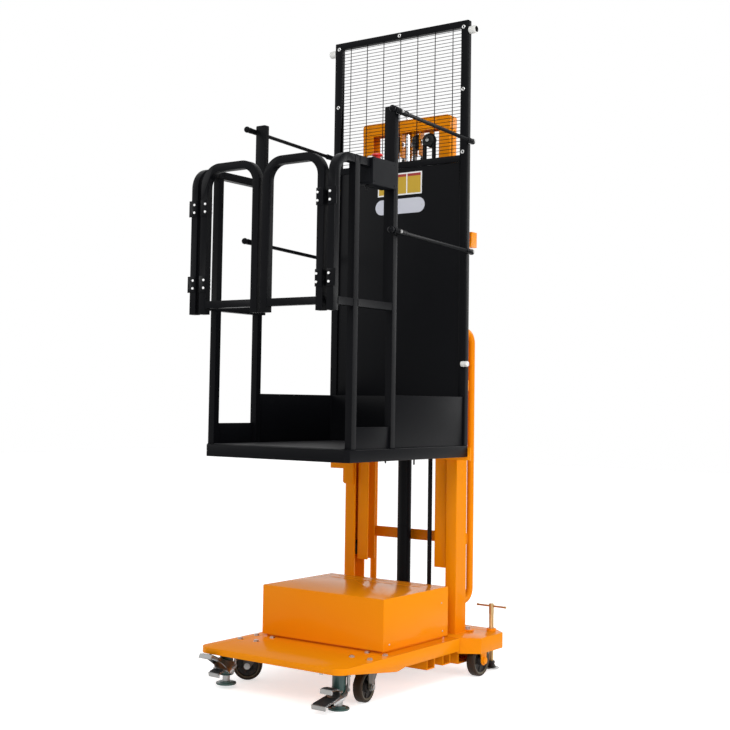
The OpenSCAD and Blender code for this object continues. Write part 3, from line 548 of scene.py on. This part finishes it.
def wheelPart(node, x, y, radius, swing, trail):
    b = bmesh.new()
    angle = math.radians(swing)
    centre = (x + trail * math.sin(angle), y - trail * math.cos(angle), radius)
    w, r = wheelForm["half"], radius
    side = [(r, 0), (r, w - 6), (r - 0.9, w - 3), (r - 3.2, w - 0.8), (r - 6, w), (r - 8, w - 0.3), (r - 8.6, w - 1.2),
            (r - 12, w - 1.6), (r - 13, w - 2.2), (r - 15, w - 6), (22, w - 7.4), (19, w - 6.6), (17.4, w - 1),
            (16, w + 1.2), (13.4, w + 1.6), (12.6, w + 0.4), (9, w + 0.4), (8.4, w + 3), (6, w + 3)]
    outline = [(p, -a) for p, a in reversed(side[1:])] + side[1:]
    lathe(b, outline, (0, 0, 0), "X", wheelForm["steps"])
    for face in b.faces:
        p = face.calc_center_median() / mm
        reach = math.hypot(p.y, p.z)
        face.material_index = 0 if reach > r - 8.2 else 1 if reach > r - 13 else 2
    for way in (-1, 1):
        ribs = []
        for face in b.faces:
            p = face.calc_center_median() / mm
            turn = math.degrees(math.atan2(p.y, p.z)) % (360 / wheelForm["ribs"])
            if p.x * way > 0 and 22 < math.hypot(p.y, p.z) < r - 15.2 and turn < 15:
                ribs.append(face)
        made = bmesh.ops.extrude_face_region(b, geom=ribs)
        raised = [v for v in made["geom"] if isinstance(v, bmesh.types.BMVert)]
        bmesh.ops.translate(b, verts=raised, vec=(way * wheelForm["ribDepth"] * mm, 0, 0))
        bmesh.ops.delete(b, geom=ribs, context="FACES_ONLY")
    bmesh.ops.recalc_face_normals(b, faces=b.faces)
    spot = Matrix.Translation(at(*centre)) @ Matrix.Rotation(angle, 4, "Z")
    bmesh.ops.transform(b, matrix=spot, verts=b.verts)
    piece(camel(node) + "Tyre", b, ["wheelRubber", "wheelRing", "castIron"], node, (node,), 32)


for node, place in wheels.items():
    wheelPart(node, *place)
print("wheels made")

# trim of the casters: axle nuts, race ring and grease nipple
casterTrim = {"nut": 15, "nutDepth": 5, "reach": 31, "race": (29.4, 24)}


def casterPart(node):
    x, y, radius, swing, trail = wheels[node]
    b = bmesh.new()
    for way in (-1, 1):
        hexBolt(b, casterTrim["nut"], casterTrim["nutDepth"], (way * casterTrim["reach"], -trail, radius), "X", way, washer=1)
    lathe(b, [(29.4, -2.4), (30.6, -1.2), (30.6, 1.2), (29.4, 2.4), (20, 2.4), (20, -2.4), (29.4, -2.4)], (0, 0, 115), "Z")
    hexBolt(b, 13, 6, (0, 0, 105), "Z", -1, washer=1)
    spot = Matrix.Translation(at(x, y, 0)) @ Matrix.Rotation(math.radians(swing), 4, "Z")
    bmesh.ops.transform(b, matrix=spot, verts=b.verts)
    body = node.replace("front_wheel", "caster")
    piece(camel(body) + "Trim", b, "agedZinc", body, (), 30)


for node in ("front_wheel_left", "front_wheel_right"):
    casterPart(node)

# axle nuts of the fixed rear wheels
rearAxle = {"x": 320, "y": 351.5, "z": 56, "outer": 336, "inner": 305}


def rearAxles():
    b = bmesh.new()
    for side in (-1, 1):
        hexBolt(b, 19, 7, (side * rearAxle["outer"], rearAxle["y"], rearAxle["z"]), "X", side, washer=1.4)
        hexBolt(b, 15, 5, (side * rearAxle["inner"], rearAxle["y"], rearAxle["z"]), "X", -side, washer=1)
    piece("rearAxleNuts", b, "boltZinc", "chassis", (), 30)


rearAxles()

# leaf chains: pitch, plate size, layers across the chain, and the cable beside them
chains = {
    "columns": (-42, 42),
    "pitch": 12.7,
    "waist": 1.3,
    "plate": 4.3,
    "thick": 2.0,
    "wide": (-4.6, 0, 4.6),
    "narrow": (-2.3, 2.3),
    "pin": 2.2,
    "rear": 382.5,
    "front": 328.5,
    "low": 1036,
    "anchor": 810,
    "sheaveR": 27,
    "cableY": 341.5,
    "cableR": 8,
}


def chainPlate(b, layer):
    # obround plate with a waist, one pitch long along Z, its pins along X
    lower = bmesh.ops.create_circle(b, cap_ends=True, segments=12, radius=chains["plate"] * mm,
                                    matrix=Matrix.Rotation(math.pi / 2, 4, "Y"))["verts"]
    upper = [v for v in lower if v.co.z > 1e-6]
    bmesh.ops.translate(b, verts=upper, vec=(0, 0, chains["pitch"] * mm))
    sides = list({e for v in upper for e in v.link_edges if e.other_vert(v) not in upper})
    cut = bmesh.ops.subdivide_edges(b, edges=sides, cuts=1)["geom_inner"]
    middle = [g for g in cut if isinstance(g, bmesh.types.BMVert)]
    for v in middle:
        v.co.y *= 1 - chains["waist"] / chains["plate"]
    for v in b.verts:
        v.co.x += (layer - chains["thick"] / 2) * mm
    thick = bmesh.ops.extrude_face_region(b, geom=b.faces[:], use_keep_orig=True)["geom"]
    bmesh.ops.translate(b, verts=[v for v in thick if isinstance(v, bmesh.types.BMVert)], vec=at(chains["thick"], 0, 0))


def linkMesh(layers):
    # plates of one link and the pin at its lower end, as a mesh to stamp from
    b = bmesh.new()
    whole = bpy.data.meshes.new("link")
    for layer in layers:
        plate = bmesh.new()
        chainPlate(plate, layer)
        bmesh.ops.recalc_face_normals(plate, faces=plate.faces)
        plate.to_mesh(whole)
        plate.free()
        b.from_mesh(whole)
    bar(b, chains["pin"], 11.8, (0, 0, 0), "X", 8)
    b.to_mesh(whole)
    b.free()
    return whole


def stamp(b, mesh, spot):
    mesh.transform(spot)
    b.from_mesh(mesh)
    mesh.transform(spot.inverted())


def straightChains(b, y, low, high):
    kinds = [linkMesh(chains["wide"]), linkMesh(chains["narrow"])]
    count = int((high - low - 2 * chains["plate"]) / chains["pitch"])
    step = (high - low - 2 * chains["plate"]) / count
    for x in chains["columns"]:
        for k in range(count):
            stamp(b, kinds[k % 2], Matrix.Translation(at(x, y, low + chains["plate"] + k * step)))


def cableRun(b, x, low, high, index):
    bar(b, chains["cableR"] - 0.3, high - low, (x, chains["cableY"], (low + high) / 2), "Z", 20, index=index)


def rearChains():
    b = bmesh.new()
    straightChains(b, chains["rear"], chains["low"], truck["sheave"])
    cableRun(b, 120, chains["low"], truck["sheave"], 1)
    made = piece("rearChains", b, ["oiledSteel", "cableRubber"], None, ("rear_runs",), 30)
    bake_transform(made)


def frontChains():
    b = bmesh.new()
    straightChains(b, chains["front"], chains["anchor"], truck["sheave"])
    cableRun(b, 80, chains["anchor"], truck["sheave"], 1)
    made = piece("frontChains", b, ["oiledSteel", "cableRubber"], None, ("front_runs",), 30)
    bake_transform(made)


def chainTurns():
    b = bmesh.new()
    links = 7
    kinds = [linkMesh(chains["wide"]), linkMesh(chains["narrow"])]
    for x in chains["columns"]:
        for k in range(links):
            turn = -math.pi / 2 + math.pi * k / links
            spot = (Matrix.Translation(at(x, mastMid, truck["sheave"])) @ Matrix.Rotation(-turn, 4, "X")
                    @ Matrix.Translation(at(0, 0, chains["sheaveR"])) @ Matrix.Rotation(-math.pi / 2 - math.pi / links / 2, 4, "X"))
            stamp(b, kinds[k % 2], spot)
    cable = bmesh.new()
    ring = bmesh.ops.create_circle(cable, cap_ends=False, segments=16, radius=(chains["cableR"] - 0.3) * mm,
                                   matrix=Matrix.Translation(at(20, 0, 0)))
    edges = list({e for v in ring["verts"] for e in v.link_edges})
    bmesh.ops.spin(cable, geom=ring["verts"] + edges, cent=(0, 0, 0), axis=(0, 1, 0), dvec=(0, 0, 0), angle=-math.pi,
                   steps=24, use_merge=False)
    marked(cable, cable.verts, 1)
    bmesh.ops.recalc_face_normals(cable, faces=cable.faces)
    turnMesh = bpy.data.meshes.new("cableTurn")
    cable.to_mesh(turnMesh)
    cable.free()
    stamp(b, turnMesh, Matrix.Translation(at(100, chains["cableY"], truck["sheave"])))
    piece("chainTurns", b, ["oiledSteel", "cableRubber"], "inner_mast", ("chain_wraps",), 30)


rearChains()
frontChains()
chainTurns()
print("chains made")

# threaded anchors of the chains with their lock nuts
anchors = {
    "rear": {"body": "chassis", "y": 382.5, "seat": 1000, "top": 1036},
    "front": {"body": "carriage", "y": 328.5, "seat": 770, "top": 810},
}


def anchorPart(name, body, y, seat, top):
    b = bmesh.new()
    for x in chains["columns"]:
        thread(b, 4.2, (x, y, seat - 22), 22, 3)
        hexBolt(b, 13, 7, (x, y, seat), "Z", -1, washer=1.5)
        hexBolt(b, 13, 5, (x, y, seat - 9), "Z", -1)
        lathe(b, [(4.2, 0), (4.6, 4), (5, 8), (4, 12)], (x, y, top), "Z", 16)
    piece(name + "ChainAnchors", b, "agedZinc", body, (), 30)


def thread(b, radius, low, length, pitch, index=0, depth=0.5, steps=20):
    rows = int(length / pitch)
    outline = [(0, 0)]
    for k in range(rows):
        outline += [(radius - depth, k * pitch), (radius, (k + 0.5) * pitch)]
    outline += [(radius - depth, length), (0, length)]
    lathe(b, outline, low, "Z", steps, index)


for name, row in anchors.items():
    anchorPart(name, **row)

# welded screen of round wires
screen = {"upR": 1.6, "levelR": 1.1, "pitchX": 76.2, "pitchZ": 12.7, "low": 1845, "high": 2310, "halfWidth": 268, "y": 291.1}


def screenWires():
    b = bmesh.new()
    low, high, reach = screen["low"], screen["high"], screen["halfWidth"]
    for k in range(-3, 4):
        bar(b, screen["upR"], high - low, (k * screen["pitchX"], screen["y"], (low + high) / 2), "Z", 10)
    z = low + screen["pitchZ"]
    while z < high - 3:
        bar(b, screen["levelR"], 2 * reach, (0, screen["y"] - screen["upR"], z), "X", 8)
        z += screen["pitchZ"]
    piece("screenWires", b, "wireCoat", "carriage", ("shield_screen",), 30)


screenWires()
print("screen made")

# blank labels on the panel: white sheet with three yellow fields, and a white rounded plate below
labels = {
    "front": 286.2,
    "sheet": (-91, 104, 1720, 1803),
    "fields": 3,
    "border": 5,
    "header": 10,
    "plate": (-101, 117, 1651, 1707),
}


def labelSheet():
    b = bmesh.new()
    x0, x1, z0, z1 = labels["sheet"]
    y, edge = labels["front"], labels["border"]
    block(b, (x0, y, z0), (x1, y + 1, z1), 0)
    pitch = (x1 - x0 - edge) / labels["fields"]
    for k in range(labels["fields"]):
        left = x0 + edge + k * pitch
        block(b, (left, y - 0.3, z0 + edge), (left + pitch - edge, y, z1 - edge - labels["header"]), 1)
        block(b, (left, y - 0.3, z1 - edge - labels["header"]), (left + pitch - edge, y, z1 - edge), 2)
    x0, x1, z0, z1 = labels["plate"]
    r = (z1 - z0) / 2
    made = bar(b, r, 1, (x0 + r, y + 0.5, z0 + r), "Y", 64, index=3)
    bmesh.ops.translate(b, verts=[v for v in made if v.co.x > (x0 + r) * mm], vec=at(x1 - x0 - 2 * r, 0, 0))
    for way, edgeX in ((-1, x0), (1, x1)):
        panScrew(b, 2.2, (edgeX - way * 12, y, z0 + r), "Y", -1, 4)
    piece("labelSheet", b, ["labelWhite", "labelYellow", "labelRed", "labelPlate", "boltZinc"], "carriage",
          ("label_plates",), 30)


labelSheet()

# socket screws in cup washers round the screen, and the nuts behind the frame
shieldFixings = {"x": 279, "heights": (2311, 2083, 1855), "topX": (0,), "ring": 7.4, "hole": 3.4, "nuts": (2311, 2083, 1855, 1620, 1330, 1040)}


def ringScrew(b, x, z, y):
    r, hole = shieldFixings["ring"], shieldFixings["hole"]
    lathe(b, [(r, 0), (r - 0.4, -1.2), (r - 1.6, -1.8), (r - 3, -1.6), (hole, -0.9), (hole, 0)], (x, y, z), "Y", 32)
    lathe(b, [(hole, -0.6), (hole - 0.4, -0.8), (0, -0.8)], (x, y, z), "Y", 24, 1)


def shieldScrews():
    b = bmesh.new()
    for side in (-1, 1):
        for z in shieldFixings["heights"]:
            ringScrew(b, side * shieldFixings["x"], z, shield)
        for z in shieldFixings["nuts"]:
            hexBolt(b, 10, 4, (side * 284, shield + 25, z), "Y", 1, washer=1)
    for x in shieldFixings["topX"]:
        ringScrew(b, x, 2322, shield)
        ringScrew(b, x - 24, 1833, shield + 2)
    piece("shieldScrews", b, ["boltZinc", "capPlastic"], "carriage", (), 30)


shieldScrews()

# turned white knobs beside the shield's top, and a smaller one on the right stile above the floor
whiteKnobs = {"top": ((-298, 293.5, 2298), (298, 293.5, 2298), 14, 28), "low": ((288, 271.9, 1093), 10, 28)}


def knobTurned(b, spot, r, l):
    turn = aims["X"] if spot[0] > 0 else aims["X"] @ Matrix.Rotation(math.pi, 4, "X")
    outline = [(5, 0.3), (r - 1.6, 0.3), (r - 0.2, 1.6), (r, 3), (r, l * 0.42), (r - 1.8, l * 0.5), (r - 1.8, l * 0.54),
               (r, l * 0.62), (r, l - 3), (r - 1, l - 1), (r - 3, l), (0, l)]
    lathe(b, outline, spot, steps=48, turn=turn)


def knobPart():
    b = bmesh.new()
    left, right, r, l = whiteKnobs["top"]
    for spot in (left, right):
        knobTurned(b, spot, r, l)
    piece("whiteKnobs", b, "knobWhite", "carriage", ("shield_knobs",), 32)
    b = bmesh.new()
    knobTurned(b, *whiteKnobs["low"])
    piece("whiteKnobLow", b, "knobWhite", "carriage", (), 32)


knobPart()

# nuts of the hinge bolts behind the leaves
hinges = {"heights": (1334, 1587), "spread": 13, "fixedX": 282, "leafX": 234, "nutSeat": -478.5}


def hingeScrews():
    for body, side, columns in (("carriage", 0, (-1, 1)), ("gate_left", -1, (-1,)), ("gate_right", 1, (1,))):
        b = bmesh.new()
        x = hinges["fixedX"] if body == "carriage" else hinges["leafX"]
        for way in columns:
            for z in hinges["heights"]:
                for dz in (-hinges["spread"], hinges["spread"]):
                    hexBolt(b, 8, 3.5, (way * x, hinges["nutSeat"], z + dz), "Y", 1)
        # near-white zinc: the lightness of these nuts is a painted highlight
        piece(camel(body) + "HingeScrews", b, "brightZinc", body, (), 30)


hingeScrews()
print("screws made")

# end caps of the guard tubes


def tubeCaps():
    b = bmesh.new()
    for side in (-1, 1):
        x0, x1 = sorted((side * 258, side * 298))
        block(b, (x0 + 0.4, truck["postFront"] + 0.4, truck["postTop"]), (x1 - 0.4, truck["postBack"] - 0.4, truck["postTop"] + 3))
        x0, x1 = sorted((side * 272, side * 298))
        block(b, (x0 + 2.4, -502.1, 1233.6), (x1 - 2.4, -480.9, 1235))
    piece("postCaps", b, "capPlastic", "carriage", (), 35, 1.0)
    for body, side in (("gate_left", -1), ("gate_right", 1)):
        b = bmesh.new()
        for inner in (8, 230):
            x0, x1 = sorted((side * inner, side * (inner + 26)))
            block(b, (x0 + 2.4, -502.1, 1233.6), (x1 - 2.4, -480.9, 1235))
        piece(camel(body) + "Caps", b, "capPlastic", body, (), 35, 0.6)


tubeCaps()

# weld beads where the guard tubes and toe boards stand on the floor and where the rails meet the posts
guardWelds = {"floor": 805.8, "radius": 1.7, "rails": ((1253, 1277), (1705, 1731))}


def guardBeads():
    b = bmesh.new()
    r = guardWelds["radius"]
    for side in (-1, 1):
        x0, x1 = sorted((side * 273, side * 298))
        boxSeam(b, x0, x1, -398.5, -373.5, guardWelds["floor"], r)
        boxSeam(b, x0, x1, truck["postFront"], truck["postBack"], guardWelds["floor"], r)
        x0, x1 = sorted((side * 268, side * 298))
        seam(b, (x0, shield, guardWelds["floor"]), (x1, shield, guardWelds["floor"]), r)
        for y in (-478.5, -398.5, -373.5, truck["postFront"]):
            for low, high in guardWelds["rails"]:
                if high > 1700 and y < -450:
                    continue
                for x in (side * 272, side * 298):
                    seam(b, (x, y, low + 2), (x, y, high - 2), r * 0.8)
    piece("guardBeads", b, "blackCoat", "carriage", (), 60)


guardBeads()

# side bars: ball ends, sockets with their grooves, and the studs that carry them
sideBars = {"x": 311, "start": -215.5, "heights": (1911, 1513), "slope": 2.3, "length": 510, "studs": (-169.5, 294)}


def barMesh():
    # ball ends and socket collars of one bar, along Z from its front end
    b = bmesh.new()
    l = sideBars["length"]
    ball(b, 11.4, (0, 0, 0), 0, (1, 1, 0.96), 3)
    ball(b, 10.6, (0, 0, l + 2), 0, (1, 1, 0.7), 3)
    for low, high, r in ((8, 14, 7.6), (14, 18, 10.2), (21, 24, 9.9), (78, 82, 9.9), (84, 88, 8.2), (l - 36, l - 31, 10.0), (l - 44, l - 36, 7.6)):
        lathe(b, [(6.4, low), (r, low + 0.6), (r, high - 0.6), (6.4, high)], (0, 0, 0), "Z", 32)
    mesh = bpy.data.meshes.new("sideBar")
    b.to_mesh(mesh)
    b.free()
    return mesh


def barFittings():
    b = bmesh.new()
    fittings = barMesh()
    tilt = Matrix.Rotation(math.radians(-sideBars["slope"]), 4, "X") @ aims["Y"]
    for side in (-1, 1):
        for z in sideBars["heights"]:
            stamp(b, fittings, Matrix.Translation(at(side * sideBars["x"], sideBars["start"], z)) @ tilt)
            for y in sideBars["studs"]:
                drop = (y - sideBars["start"]) * math.tan(math.radians(sideBars["slope"]))
                hexBolt(b, 11, 4, (side * (sideX + 0.3), y, z - drop), "X", side, 1, washer=1)
                hexBolt(b, 10, 3.6, (side * (sideBars["x"] + 9), y, z - drop), "X", side, 1)
    piece("sideBarFittings", b, ["blackCoat", "agedZinc"], "carriage", (), 35)


barFittings()
print("guard fittings made")

# control box: thick outer cover, lens, stop button on a yellow ring, cable gland and a short cable stub
control = {"front": -314.5, "back": -182.5, "low": 1650, "high": 1735, "coverX": 307, "button": (284, -260, 1735), "lens": (286, -300, 1735)}


def controlTrim():
    b = bmesh.new()
    low, high = control["low"], control["high"]
    block(b, (303.2, control["front"] - 1.5, low - 2), (307.4, control["back"] - 0.4, high + 1.2), 0)
    block(b, (246.5, control["front"] - 2.4, low + 6), (296, control["front"], high - 6), 0)
    for z in (low + 8, high - 8):
        for y in (control["front"] + 9, control["back"] - 9):
            panScrew(b, 2.2, (307.4, y, z), "X", 1, 4)
    x, y, z = control["lens"]
    lathe(b, [(0, 7), (8, 6.4), (10.4, 4.4), (11, 1.6), (13, 1.4), (13, 0)], (x, y, z), "Z", 32, 2)
    bar(b, 6, 9, (272, -300, low - 4.5), "Z", 20, index=3)
    bar(b, 4, 16, (272, -300, low - 9), "Z", 16, index=3)
    piece("controlTrim", b, ["boxPlastic", "boltZinc", "knobWhite", "cableRubber", "capPlastic"], "carriage", (), 35, 0.8)


def stopButton():
    b = bmesh.new()
    x, y, z = control["button"]
    lathe(b, [(21, 0), (21, 1.6), (19.5, 2.2), (14, 2.2), (14, 0)], (x, y, z), "Z", 48, 1)
    lathe(b, [(12, 0), (12, 8), (10, 10), (10, 12), (17, 13), (18.8, 14.4), (19, 16.5), (18, 19), (13, 21.4), (7, 22.4), (0, 22.8)],
          (x, y, z), "Z", 48, 0)
    piece("stopButtonCap", b, ["buttonRed", "labelYellow"], "carriage", ("stop_button",), 40)


controlTrim()
stopButton()

# floor locks: rubber treads on the levers, zinc stems and side links, green rings and feet, and their bolts
locks = {"x": 233, "y": -353.5, "down": ((34, 38, 10, 72, 53), (27, 64, -4, 40, 45)), "up": ((34, 88, -24, 76, 53), (27, 62, 14, 36, 45))}


def pedalPads(b, side, rows):
    for ahead, z, slope, length, width in rows:
        spot = Matrix.Translation(at(side * locks["x"], locks["y"] - ahead, z)) @ Matrix.Rotation(math.radians(slope), 4, "X")
        made = block(b, (-width / 2 + 1, -length + 5, 2.6), (width / 2 - 1, -8, 6.2), 0)
        y = -length + 8
        while y < -12:
            made = made + block(b, (-width / 2 + 3, y, 5.6), (width / 2 - 3, y + 3, 7.8), 0)
            y += 6
        made = made + block(b, (-width / 2 + 0.5, -length - 2.6, -9), (width / 2 - 0.5, -length + 4.5, 4.2), 1)
        for k in range(3):
            made = made + block(b, (-width / 2 + 2, -length - 1.4 + 2 * k, 4), (width / 2 - 2, -length - 0.6 + 2 * k, 5), 1)
        bmesh.ops.transform(b, matrix=spot, verts=made)


def lockTrim():
    b = bmesh.new()
    pedalPads(b, 1, locks["down"])
    pedalPads(b, -1, locks["up"])
    for side, foot in ((1, 0), (-1, 12)):
        x, y = side * locks["x"], locks["y"]
        bar(b, 12.4, 42, (x, y, foot + 30), "Z", 32, index=1)
        lathe(b, [(22.6, 48), (24.2, 46.5), (24.2, 44.6), (22.6, 43.2), (14, 43.2)], (x, y, 0), "Z", 40, 2)
        lathe(b, [(22.4, 122), (23.6, 124), (23.6, 128)], (x, y, 0), "Z", 40, 2)
        lathe(b, [(33.5, foot + 0.4), (34.2, foot + 2.5), (33.5, foot + 5.6), (30, foot + 6.4), (22, foot + 6.6), (20, foot + 10.4), (12, foot + 10.6)],
              (x, y, 0), "Z", 48, 2)
        for way in (-1, 1):
            pivot = (14, 104) if side > 0 else (6, 70)
            hexBolt(b, 10, 4, (x + way * 26.5, y + pivot[0], pivot[1]), "X", way, 1, washer=1)
            block(b, (x + way * 29 - 1.5, y + 6, 56 + foot), (x + way * 29 + 1.5, y + 14, 126), 1)
            hexBolt(b, 8, 3, (x + way * 30.5, y + 10, 62 + foot), "X", way, 1)
            hexBolt(b, 10, 4, (x + way * 34, y, 128), "Z", -1, 1, washer=1)
    piece("lockTrim", b, ["padRubber", "agedZinc", "greenEnamel"], "chassis", (), 32)


lockTrim()
print("locks made")

# levelling jacks: threaded stud, forked top with its cross bar, cone and wide foot
jacks = {"x": 305, "y": 471.5, "top": 235, "cross": 226}


def jackPart(side):
    b = bmesh.new()
    x, y = side * jacks["x"], jacks["y"]
    thread(b, 8.6, (x, y, 22), 178, 3.5, 0, 0.8, 24)
    lathe(b, [(8.8, 199), (9, 201), (9, 233), (7.6, 235), (0, 235)], (x, y, 0), "Z", 32)
    bar(b, 3.4, 118, (x, y, jacks["cross"]), "X", 20)
    for way in (-1, 1):
        lathe(b, [(0, 3.6), (2.8, 3), (4.4, 1), (4.4, -3), (3.4, -3.4)], (x + way * 57.4, y, jacks["cross"]), steps=20,
              turn=aims["X"] if way > 0 else aims["X"] @ Matrix.Rotation(math.pi, 4, "X"))
    lathe(b, [(8, 31), (11, 24), (17.4, 12), (20, 10.4)], (x, y, 0), "Z", 40, 1)
    lathe(b, [(20, 10.4), (26.5, 10.2), (29.4, 9.6), (30, 8), (29.4, 6.4), (28, 6), (0, 6)], (x, y, 0), "Z", 48, 2)
    hexBolt(b, 24, 8, (x, y, 24), "Z", 1, 1)
    name = "jack_left" if side < 0 else "jack_right"
    piece(camel(name) + "Screw", b, ["yellowZinc", "castIron", "boltZinc"], name, (name,), 32)


jackPart(-1)
jackPart(1)


def jackNuts():
    b = bmesh.new()
    for side in (-1, 1):
        lathe(b, [(9.8, 139), (16.4, 139), (17, 143), (15.6, 147.4), (9.8, 147.4)], (side * 305, 471.5, 0), "Z", 40)
    piece("jackCollars", b, "orangeEnamel", "chassis", (), 32)


jackNuts()
print("jacks made")

# bolts of the deck: caster plates, mast feet, lip bolts and box screws
deckBolts = {
    "casters": (235, -198.5, 35, 43),
    "locks": (233, -353.5, 34, 24),
    "feet": (245, 406.5),
    "lip": ((-258, -404), (210, -417)),
    "boxSide": (255, 210, 262),
}


def deckFixings():
    b = bmesh.new()
    cx, cy, dx, dy = deckBolts["casters"]
    for side in (-1, 1):
        for sx in (-1, 1):
            for sy in (-1, 1):
                hexBolt(b, 14, 4.5, (side * cx + sx * dx, cy + sy * dy, 139), "Z", 1, washer=1.2)
                hexBolt(b, 14, 7, (side * cx + sx * dx, cy + sy * dy, 124), "Z", -1, washer=1.2)
        hexBolt(b, 14, 7, (side * deckBolts["feet"][0], deckBolts["feet"][1], 145), "Z", 1, washer=1.6)
        for y in (-110, 218):
            panScrew(b, 3.0, (side * 255, y, 165), "X", side)
        panScrew(b, 2.6, (side * 255, deckBolts["boxSide"][1], deckBolts["boxSide"][2]), "X", side)
    for x, y in deckBolts["lip"]:
        bar(b, 4, 20.4, (x, y, 123), "Z", 16)
        hexBolt(b, 10, 6, (x, y, 119.5), "Z", -1, washer=1)
    for x in (-180, 0, 180):
        panScrew(b, 3.0, (x, truck["boxBack"], 165), "Y", 1)
    piece("deckFixings", b, "boltZinc", "chassis", (), 30)


deckFixings()

# weld beads of the base and the mast
baseWelds = {"deck": 139.6, "ties": ((449, 487), (1000, 1038), (1520, 1580))}


def baseBeads():
    b = bmesh.new()
    for side in (-1, 1):
        seam(b, (side * 247, 320.5, 139.8), (side * 247, 390.5, 139.8), 2.2)
        seam(b, (side * 201, 319, 139.8), (side * 245, 319, 139.8), 2.2)
        seam(b, (side * 201, 262, 139.4), (side * 285, 262, 139.4), 1.6)
        for low, high in baseWelds["ties"]:
            seam(b, (side * 245.6, 391.4, low + 2), (side * 245.6, 391.4, high - 2), 1.8)
            seam(b, (side * 201, 390.9, low), (side * 243, 390.9, low), 1.6)
            seam(b, (side * 201, 390.9, high), (side * 243, 390.9, high), 1.6)
        for z in (243, 1216):
            for k in range(14):
                turn = 2 * math.pi * k / 14
                ball(b, 2.0, (side * 214 + 13.4 * math.cos(turn), 391, z + 13.4 * math.sin(turn)), 0, fine=1)
        for x in (295, 345):
            seam(b, (side * x, 328, 132.6), (side * x, 375, 132.6), 2.0)
    piece("baseBeads", b, "orangeEnamel", "chassis", (), 60)


baseBeads()

# lift cylinder: gland with its wiper, base clamp and hose to the power unit
liftParts = {"gland": (1420, 1460), "base": 139, "hose": 5.5}


def liftTrim():
    b = bmesh.new()
    low, high = liftParts["gland"]
    lathe(b, [(28.3, low), (28.9, low + 2), (28.9, high - 8), (27, high - 5), (27, high), (16.4, high), (16.4, high - 2)],
          (0, mastMid, 0), "Z", 56, 1)
    lathe(b, [(19.5, high), (20.5, high + 3), (18, high + 5), (15.4, high + 5.4)], (0, mastMid, 0), "Z", 40, 2)
    for k in range(4):
        lathe(b, [(25.2, 0), (25.9, 0.8), (25.2, 1.6)], (0, mastMid, 500 + 290 * k), "Z", 48, 0)
    bar(b, 9, 26, (0, mastMid - 34, 172), "Y", 24, index=1)
    hexBolt(b, 19, 10, (0, mastMid - 44, 172), "Y", -1, 1)
    bar(b, liftParts["hose"], 52, (0, mastMid - 76, 172), "Y", 20, index=3)
    hexBolt(b, 19, 9, (0, truck["boxBack"], 172), "Y", 1, 1, washer=2)
    piece("liftTrim", b, ["blackCoat", "agedZinc", "nylonGrey", "cableRubber"], "chassis", (), 32)


liftTrim()

# rod head in the mast head, sheave faces and pulley face
headParts = {"sheaves": (-42, 42), "pulley": (100, 341.5, 1925)}


def headTrim():
    b = bmesh.new()
    lathe(b, [(15.6, 0), (24, 0), (24, 10), (20, 14), (15.6, 14)], (0, mastMid, 1990), "Z", 40, 0)
    hexBolt(b, 22, 9, (0, mastMid, 2012), "Z", 1, 1, washer=2)
    for x in headParts["sheaves"]:
        for way in (-1, 1):
            lathe(b, [(28.6, 0), (24, 1.0), (16, 1.0), (14, 0)], (x + way * 9.4, mastMid, 1925), steps=48, index=2,
                  turn=aims["X"] if way > 0 else aims["X"] @ Matrix.Rotation(math.pi, 4, "X"))
            hexBolt(b, 13, 4, (x + way * 17, mastMid, 1925), "X", way, 1, washer=1)
    x, y, z = headParts["pulley"]
    lathe(b, [(22.6, 0), (20, 1.2), (10, 1.2), (9, 2.4), (0, 2.4)], (x, y - 12, z), steps=48, index=2,
          turn=aims["Y"] @ Matrix.Rotation(math.pi, 4, "X"))
    hexBolt(b, 13, 4, (x, y - 14, z), "Y", -1, 1)
    piece("headTrim", b, ["orangeEnamel", "boltZinc", "nylonGrey"], "inner_mast", (), 32)


headTrim()
print("mast trim made")

# guide rollers' outer bearings, seen in the open rails
rollers = {"mast": (405, 27, 196, 233), "carriage": (793, 18, 149, 184), "upper": (997, 18, 149, 184)}


def rollerCaps():
    for body, rows in (("inner_mast", ("mast",)), ("carriage", ("carriage", "upper"))):
        b = bmesh.new()
        for row in rows:
            z, r, x0, x1 = rollers[row]
            for side in (-1, 1):
                outline = [(0, 1.4), (6, 1.4), (7, 0.6), (r - 7, 0.6), (r - 6, 1.2), (r - 3, 1.2), (r - 2, 0)]
                lathe(b, outline, (side * x1, mastMid, z), steps=48, turn=aims["X"] if side > 0 else aims["X"] @ Matrix.Rotation(math.pi, 4, "X"))
        piece(camel(body) + "RollerCaps", b, "agedZinc", body, (), 32)


rollerCaps()

# carriage: bolts to the platform and the two dark studs below its band
carriageBolts = {"arms": ((205, 235), (1046, 1078)), "band": ((160, 284), 776), "studs": ((-57, 69), 310.5, 728, 756)}


def carriageFixings():
    b = bmesh.new()
    back = truck["carriage"] + 8
    columns, heights = carriageBolts["arms"]
    for side in (-1, 1):
        for x in columns:
            for z in heights:
                hexBolt(b, 14, 5, (side * x, back, z), "Y", 1, washer=1.4)
        for x in carriageBolts["band"][0]:
            hexBolt(b, 14, 5, (side * x, back, carriageBolts["band"][1]), "Y", 1, washer=1.4)
    columns, y, low, high = carriageBolts["studs"]
    for x in columns:
        thread(b, 3.4, (x, y, low), high - low, 2.2, 1, 0.4, 14)
        hexBolt(b, 12, 6, (x, y, 753), "Z", -1, 1)
    piece("carriageFixings", b, ["agedZinc", "castIron"], "carriage", (), 30)


carriageFixings()

# anti-slip mat on the platform floor
mat = {"x": 266, "front": -404, "back": 270, "thick": 2.2}


def floorMat():
    b = bmesh.new()
    block(b, (-mat["x"], mat["front"], 805), (mat["x"], mat["back"], 805 + mat["thick"]))
    piece("floorMat", b, "studRubber", "carriage", (), 35, 0.8)


floorMat()
print("fixings made")
